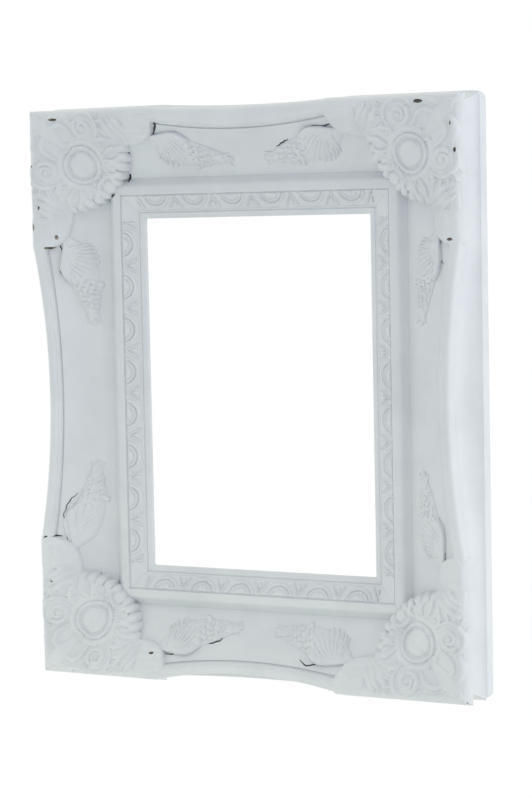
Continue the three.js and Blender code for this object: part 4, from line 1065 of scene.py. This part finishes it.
class SWEPTFRAME_OT_castings(bpy.types.Operator):
    """Four corner castings with a boss, volutes, leaves and a tongue on each arm"""
    bl_idname = "sweptframe.castings"
    bl_label = "Corner castings"

    def execute(self, context):
        for seed, corner in enumerate(CORNER_SIGNS):
            name = f"carved_corner_{corner}"
            mesh = carved_mesh(
                name, (-SIDE_OVERHANG, 0.0), (CASTING_REACH, CASTING_REACH),
                lambda plan: casting_carving(plan, seed), casting_surface,
                lambda plan: rail_front(np.maximum(plan.min(axis=1), 0)) - 0.6,
                lambda a, b, depth: place_at_corner(corner, "across", a, b, depth),
                lambda plan: np.maximum(plan, 0.25))
            right, up = CORNER_SIGNS[corner]
            spots = np.empty(3 * len(mesh.vertices))
            mesh.vertices.foreach_get("co", spots)
            spots = 1000 * spots.reshape(-1, 3)
            plan = np.stack([HALF_WIDTH - right * spots[:, 0], HALF_HEIGHT - up * spots[:, 2]], axis=-1)
            mesh.attributes.new("chip", "FLOAT", "POINT").data.foreach_set("value", chip_mask(corner, plan))
            new_piece(name, mesh, casting_paint(), [f"corner_casting_{corner}"])
        return {"FINISHED"}


class SWEPTFRAME_OT_sprays(bpy.types.Operator):
    """Eight sprays of fan, buds and leaves on the panels"""
    bl_idname = "sweptframe.sprays"
    bl_label = "Panel sprays"

    def execute(self, context):
        for seed, ((corner, arm), node) in enumerate(SPRAY_NODES.items()):
            side = side_facts(node.split("_")[1])
            kind = "leaf" if node == "spray_left_end" else "fan"
            mesh = carved_mesh(
                f"panel_{node}", *SPRAY_FIELD, lambda plan: spray_carving(plan, kind, seed),
                lambda plan, made: bowed_panel(side, *plan.T) + SPRAY_THICKNESS + made.height
                - 0.3 * (1 - np.clip(made.inside / 0.6, 0, 1)) ** 2,
                lambda plan: bowed_panel(side, *plan.T),
                lambda a, b, depth: place_at_corner(corner, arm, a, b, depth), lambda plan: plan)
            new_piece(f"panel_{node}", mesh, casting_paint(), [node])
        return {"FINISHED"}


class SWEPTFRAME_OT_painted_joint_shadows(bpy.types.Operator):
    """Dark ribbons in the open joints where the castings and sprays have drawn away from the rails; their
    near-black paint is painted shadow for each gap
    """
    bl_idname = "sweptframe.cracks"
    bl_label = "Painted joint shadows"

    def execute(self, context):
        points = []
        faces = []
        for corner, arm, spots, width in [(*where, *row) for where, rows in PAINTED_JOINT_SHADOWS.items() for row in rows]:
            upright, level = corner.split("_")[::-1]
            side = side_facts(upright if arm == "up" else level)
            path = curve_through(spots, 9)
            share = np.linspace(0, 1, len(path))
            wobble = 0.12 * np.sin(share * 19 + 7 * width)
            path = path + np.stack([wobble, -wobble], axis=-1)
            way = np.gradient(path, axis=0)
            way /= np.linalg.norm(way, axis=1)[:, None] + 1e-9
            across = np.stack([-way[:, 1], way[:, 0]], axis=-1)
            half = width * (0.35 + 0.65 * np.sin(math.pi * np.clip(share, 0.06, 0.94)))
            rings = []
            for k in range(6):
                turn = math.pi * k / 3
                plan = path + across * (half * math.cos(turn))[:, None]
                on_panel = (plan[:, 1] >= RIM_WIDTH) & (plan[:, 1] <= RIM_TO_SLIP)
                ground = np.where(on_panel, bowed_panel(side, *plan.T), rail_front(plan[:, 1]))
                # Each ribbon rides just above the ground; its near-black colour is painted shadow for the gap
                # below it
                rings.append(place_at_corner(corner, arm, *plan.T, ground + 0.1 + 0.22 * math.sin(turn)))
            made_points, made_faces = ring_loft(np.stack(rings, axis=1))
            faces += [tuple(n + len(points) for n in face) for face in made_faces]
            points += made_points
        mesh = mesh_from_lists("painted_joint_shadow_strips", points, faces)
        new_piece("painted_joint_shadow_strips", mesh, painted_joint_shadow_finish(), [])
        return {"FINISHED"}


def smooth_plate(outline, hole, depths, bevel):
    """A closed plate with a round hole, its edges eased by a bevel."""
    front, back = depths
    loops = []
    for loop, sign in ((outline, -1), (hole, 1)):
        centre = loop.mean(axis=0)
        ray = loop - centre
        eased = centre + ray * (1 + sign * bevel / np.linalg.norm(ray, axis=1)[:, None])
        rows = [(eased, front), (loop, front + bevel), (loop, back - bevel), (eased, back)]
        loops += rows if sign < 0 else rows[::-1]
    points = [(x, -depth, z) for loop, depth in loops for x, z in loop]
    count = len(outline)
    faces = []
    for r in range(len(loops)):
        s = (r + 1) % len(loops)
        for i in range(count):
            j = (i + 1) % count
            faces.append((r * count + i, r * count + j, s * count + j, s * count + i))
    return points, faces


def box_of(node):
    """The low and the high corner of a solid's box, in millimetres."""
    return [1000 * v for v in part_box(node)]


def middle_of(node):
    """The middle of a solid as seen from the back."""
    low, high = box_of(node)
    return (low[0] + high[0]) / 2, (low[2] + high[2]) / 2


SCREW_RADIUS = 2.5
SCREW_HEIGHT = 1.3
SHANK_RADIUS = 1.25
SCREW_LENGTH = 7.0
SLOT_HALF_WIDTH = 0.42
SLOT_DEPTH = 0.75


def add_screw(name, node, seat, material):
    """A pan head with a cross recess on a plain shank, along Y, in the place of its solid."""
    angle = np.linspace(0, 2 * math.pi, 32, endpoint=False)
    rings = []
    for share in (0.16, 0.3, 0.44, 0.58, 0.72, 0.86, 0.97, 1.0):
        r = share * SCREW_RADIUS
        crown = seat - SCREW_HEIGHT * math.sqrt(1 - 0.75 * share ** 2)
        x = r * np.cos(angle)
        z = r * np.sin(angle)
        cut = ((np.abs(x) < SLOT_HALF_WIDTH) | (np.abs(z) < SLOT_HALF_WIDTH)) & (share < 0.62)
        rings.append(np.stack([x, -(crown + np.where(cut, SLOT_DEPTH, 0.0)), z], axis=-1))
    for r, depth in ((SCREW_RADIUS, seat), (SHANK_RADIUS, seat), (SHANK_RADIUS, seat + SCREW_LENGTH - 2),
                     (0.15, seat + SCREW_LENGTH)):
        rings.append(np.stack([r * np.cos(angle), 0 * angle - depth, r * np.sin(angle)], axis=-1))
    across, up = middle_of(node)
    points, faces = ring_loft([ring + (across, 0, up) for ring in rings])
    new_piece(name, mesh_from_lists(name, points, faces, 35), material, [node])


BUTTON_ROOT = 4.6
BUTTON_TIP = 3.0
BUTTON_REACH = 23.0
BUTTON_HOLE = 1.35
BUTTON_BEVEL = 0.2
BUTTON_SEAT = 2.2
BUTTON_TURNS = {"bottom": (1, 0), "right": (0, 1), "top": (-1, 0), "left": (0, -1)}


class SWEPTFRAME_OT_buttons(bpy.types.Operator):
    """Turn buttons that hold the back board, each on its screw"""
    bl_idname = "sweptframe.buttons"
    bl_label = "Turn buttons"

    def execute(self, context):
        steps = np.linspace(0, 2 * math.pi, 64, endpoint=False)
        lean = math.acos((BUTTON_ROOT - BUTTON_TIP) / BUTTON_REACH)
        outline = []
        for t in steps:
            at_root = abs((t + math.pi) % (2 * math.pi) - math.pi) > lean
            middle, radius = (0.0, BUTTON_ROOT) if at_root else (BUTTON_REACH, BUTTON_TIP)
            outline.append((middle + radius * math.cos(t), radius * math.sin(t)))
        hole = BUTTON_HOLE * np.stack([np.cos(steps), np.sin(steps)], axis=-1)
        for name, (across, up) in BUTTON_TURNS.items():
            node = f"turn_button_{name}"
            low, high = box_of(node)
            pivot = middle_of(f"turn_button_screw_{name}")
            spin = np.array([[across, up], [-up, across]])
            points, faces = smooth_plate(
                np.array(outline) @ spin + pivot, hole @ spin + pivot, (-high[1], -low[1]), BUTTON_BEVEL)
            mesh = mesh_from_lists(f"button_{name}", points, faces, 50)
            new_piece(f"button_{name}", mesh, brass_finish(), [node], node)
            add_screw(f"button_screw_{name}", f"turn_button_screw_{name}", BUTTON_SEAT, brass_finish())
        return {"FINISHED"}


RING_WIRE = 0.8
RING_SIDES = 14
STRAP_SEAT = 2.0


class SWEPTFRAME_OT_hangers(bpy.types.Operator):
    """Ring hangers: bent strap, loose ring and screw, with the nails across the mitres"""
    bl_idname = "sweptframe.hangers"
    bl_label = "Ring hangers"

    def execute(self, context):
        # The ring's middle line: a straight bar in the eye of the strap, and a half oval round it
        spots = [(0, -5.0), (0, 5.0), (0.5, 5.85)]
        for angle in np.linspace(math.pi / 2, -math.pi / 2, 25):
            spots.append((4.0 + 5.0 * math.cos(angle), 6.0 * math.sin(angle)))
        spots.append((0.5, -5.85))
        path = curve_through(spots + [spots[0]], 3)[:-1]
        way = np.roll(path, -1, axis=0) - np.roll(path, 1, axis=0)
        way /= np.linalg.norm(way, axis=1)[:, None]
        angle = 2 * math.pi * np.arange(RING_SIDES) / RING_SIDES
        aside = RING_WIRE * np.cos(angle)
        for name, inward in (("left", 1), ("right", -1)):
            node = f"hanger_ring_{name}"
            low, high = box_of(node)
            bar = low[0] + RING_WIRE if inward > 0 else high[0] - RING_WIRE
            x = bar + inward * (path[:, :1] - way[:, 1:] * aside)
            y = (low[1] + high[1]) / 2 - RING_WIRE * np.sin(angle) + 0 * x
            z = (low[2] + high[2]) / 2 + path[:, 1:] + way[:, :1] * aside
            points, faces = ring_loft(np.stack([x, y, z], axis=-1))
            last = (len(path) - 1) * RING_SIDES
            faces = faces[:-2] + [(last + k, last + (k + 1) % RING_SIDES, (k + 1) % RING_SIDES, k)
                                  for k in range(RING_SIDES)]
            mesh = mesh_from_lists(f"ring_{name}", points, faces, 60)
            new_piece(f"ring_{name}", mesh, zinc_finish(), [node], node)
            add_screw(f"strap_screw_{name}", f"hanger_screw_{name}", STRAP_SEAT, zinc_finish())
        for node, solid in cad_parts.items():
            if node.startswith(("hanger_strap", "v_nail")):
                solid.data.materials.clear()
                solid.data.materials.append(zinc_finish())
        return {"FINISHED"}


# The stage: the camera's place in metres and its turn in degrees, and the sky's colours

CAMERA_PLACE = (0.50408, -0.99433, 0.08361)
CAMERA_TURN = (85.567, 1.176, 26.836)
CAMERA_LENS = 103.55
FLOOR_REACH = 1.1
SKY_BELOW = (0.02, 0.03, 0.36, 1)
SKY_ABOVE = (1.05, 1.06, 0.985, 1)


class SWEPTFRAME_OT_stage(bpy.types.Operator):
    """Camera at the photograph's view, pale floor, soft sky and three wide lamps"""
    bl_idname = "sweptframe.stage"
    bl_label = "Stage and camera"

    def execute(self, context):
        scene = context.scene
        look = stage_look()
        lens = bpy.data.cameras.new("view")
        camera = shown_object("view", lens)
        camera.location = CAMERA_PLACE
        camera.rotation_euler = [math.radians(v) for v in CAMERA_TURN]
        lens.sensor_width = 36.0
        lens.lens = CAMERA_LENS
        scene.camera = camera
        scene.view_settings.view_transform = "Standard"

        floor_mesh = bpy.data.meshes.new("floor")
        corners = [(x * FLOOR_REACH, y * FLOOR_REACH, -look.floor_drop)
                   for x, y in ((-1, -1), (1, -1), (1, 1), (-1, 1))]
        floor_mesh.from_pydata(corners, [], [(0, 1, 2, 3)])
        floor = shown_object("floor", floor_mesh)
        cover = bpy.data.materials.new("floor")
        cover.use_nodes = True
        tree = cover.node_tree
        lift = math_node(tree, "MULTIPLY", {1: 0.5}, {0: (add_node(tree, "LightPath"), "Is Camera Ray")})
        wire(tree, tree.nodes["Principled BSDF"], {
            "Base Color": solid_colour(look.floor), "Roughness": 0.8, "Emission Color": (1, 1, 1, 1)},
            {"Emission Strength": (lift, "Value")})
        floor_mesh.materials.append(cover)

        # A sky that is white where it is seen, and tinted from below to above where it lights
        world = bpy.data.worlds.new("studio")
        world.use_nodes = True
        scene.world = world
        tree = world.node_tree
        tree.nodes.clear()
        split = add_node(tree, "SeparateXYZ", {}, {"Vector": (add_node(tree, "TexCoord"), "Generated")})
        rise = add_node(tree, "MapRange", {"From Min": -1.0, "From Max": 0.7}, {"Value": (split, "Z")})
        tint = mix_colours(tree, {"A": SKY_BELOW, "B": SKY_ABOVE}, {"Factor": (rise, "Result")})
        glow = add_node(tree, "Background", {"Strength": look.sky}, {"Color": (tint, "Result")})
        seen = add_node(tree, "Background", {"Color": (1, 1, 1, 1), "Strength": 1.0})
        path = add_node(tree, "LightPath")
        either = math_node(tree, "MAXIMUM", {}, {0: (path, "Is Camera Ray"), 1: (path, "Is Glossy Ray")})
        both = math_node(tree, "MAXIMUM", {}, {0: (either, "Value"), 1: (path, "Is Transmission Ray")})
        mix = add_node(tree, "MixShader", {}, {
            "Fac": (both, "Value"), 1: (glow, "Background"), 2: (seen, "Background")})
        add_node(tree, "OutputWorld", {}, {"Surface": (mix, "Shader")})

        for name, spot, size, power, colour in (
            ("window", (1.2, 0.12, 0.1), 0.9, look.window, (0.95, 0.985, 0.96)),
            ("fill", (-0.3, -0.62, -0.55), 0.6, look.fill, (0.78, 0.92, 0.55)),
            ("left_glow", (-1.3, -0.25, 0.15), 0.8, look.glow, (1.0, 1.0, 1.0)),
        ):
            lamp = bpy.data.lights.new(name, "AREA")
            lamp.shape = "SQUARE"
            lamp.size = size
            lamp.energy = power
            lamp.color = colour
            holder = shown_object(name, lamp)
            holder.location = spot
            holder.rotation_euler = (-Vector(spot)).to_track_quat("-Z", "Y").to_euler()
        return {"FINISHED"}


class SWEPTFRAME_PT_panel(bpy.types.Panel):
    """Lists what the frame is made of"""
    bl_label = "Swept picture frame"
    bl_idname = "SWEPTFRAME_PT_panel"
    bl_space_type = "VIEW_3D"
    bl_region_type = "UI"
    bl_category = "Frame"

    def draw(self, context):
        for group in (sizes(), paint(), stage_look()):
            box = self.layout.box()
            for name in group.bl_rna.properties.keys():
                if name not in ("rna_type", "name"):
                    box.prop(group, name)
        for step in STEPS:
            self.layout.operator(step.bl_idname)


STEPS = (
    SWEPTFRAME_OT_stage, SWEPTFRAME_OT_plinth, SWEPTFRAME_OT_face, SWEPTFRAME_OT_slip,
    SWEPTFRAME_OT_castings, SWEPTFRAME_OT_sprays, SWEPTFRAME_OT_painted_joint_shadows, SWEPTFRAME_OT_buttons,
    SWEPTFRAME_OT_hangers,
)
CLASSES = (SweptFrameSizes, SweptFramePaint, SweptFrameStage, *STEPS, SWEPTFRAME_PT_panel)
POINTERS = {
    "swept_frame_sizes": SweptFrameSizes, "swept_frame_paint": SweptFramePaint,
    "swept_frame_stage": SweptFrameStage,
}


def register():
    for made in CLASSES:
        bpy.utils.register_class(made)
    for name, group in POINTERS.items():
        setattr(bpy.types.Scene, name, bpy.props.PointerProperty(type=group))


def unregister():
    for name in POINTERS:
        delattr(bpy.types.Scene, name)
    for made in reversed(CLASSES):
        bpy.utils.unregister_class(made)


def main():
    register()
    bpy.ops.sweptframe.stage()
    bpy.ops.sweptframe.plinth()
    bpy.ops.sweptframe.face()
    bpy.ops.sweptframe.slip()
    bpy.ops.sweptframe.castings()
    bpy.ops.sweptframe.sprays()
    bpy.ops.sweptframe.cracks()
    bpy.ops.sweptframe.buttons()
    bpy.ops.sweptframe.hangers()


if __name__ == "__main__":
    main()
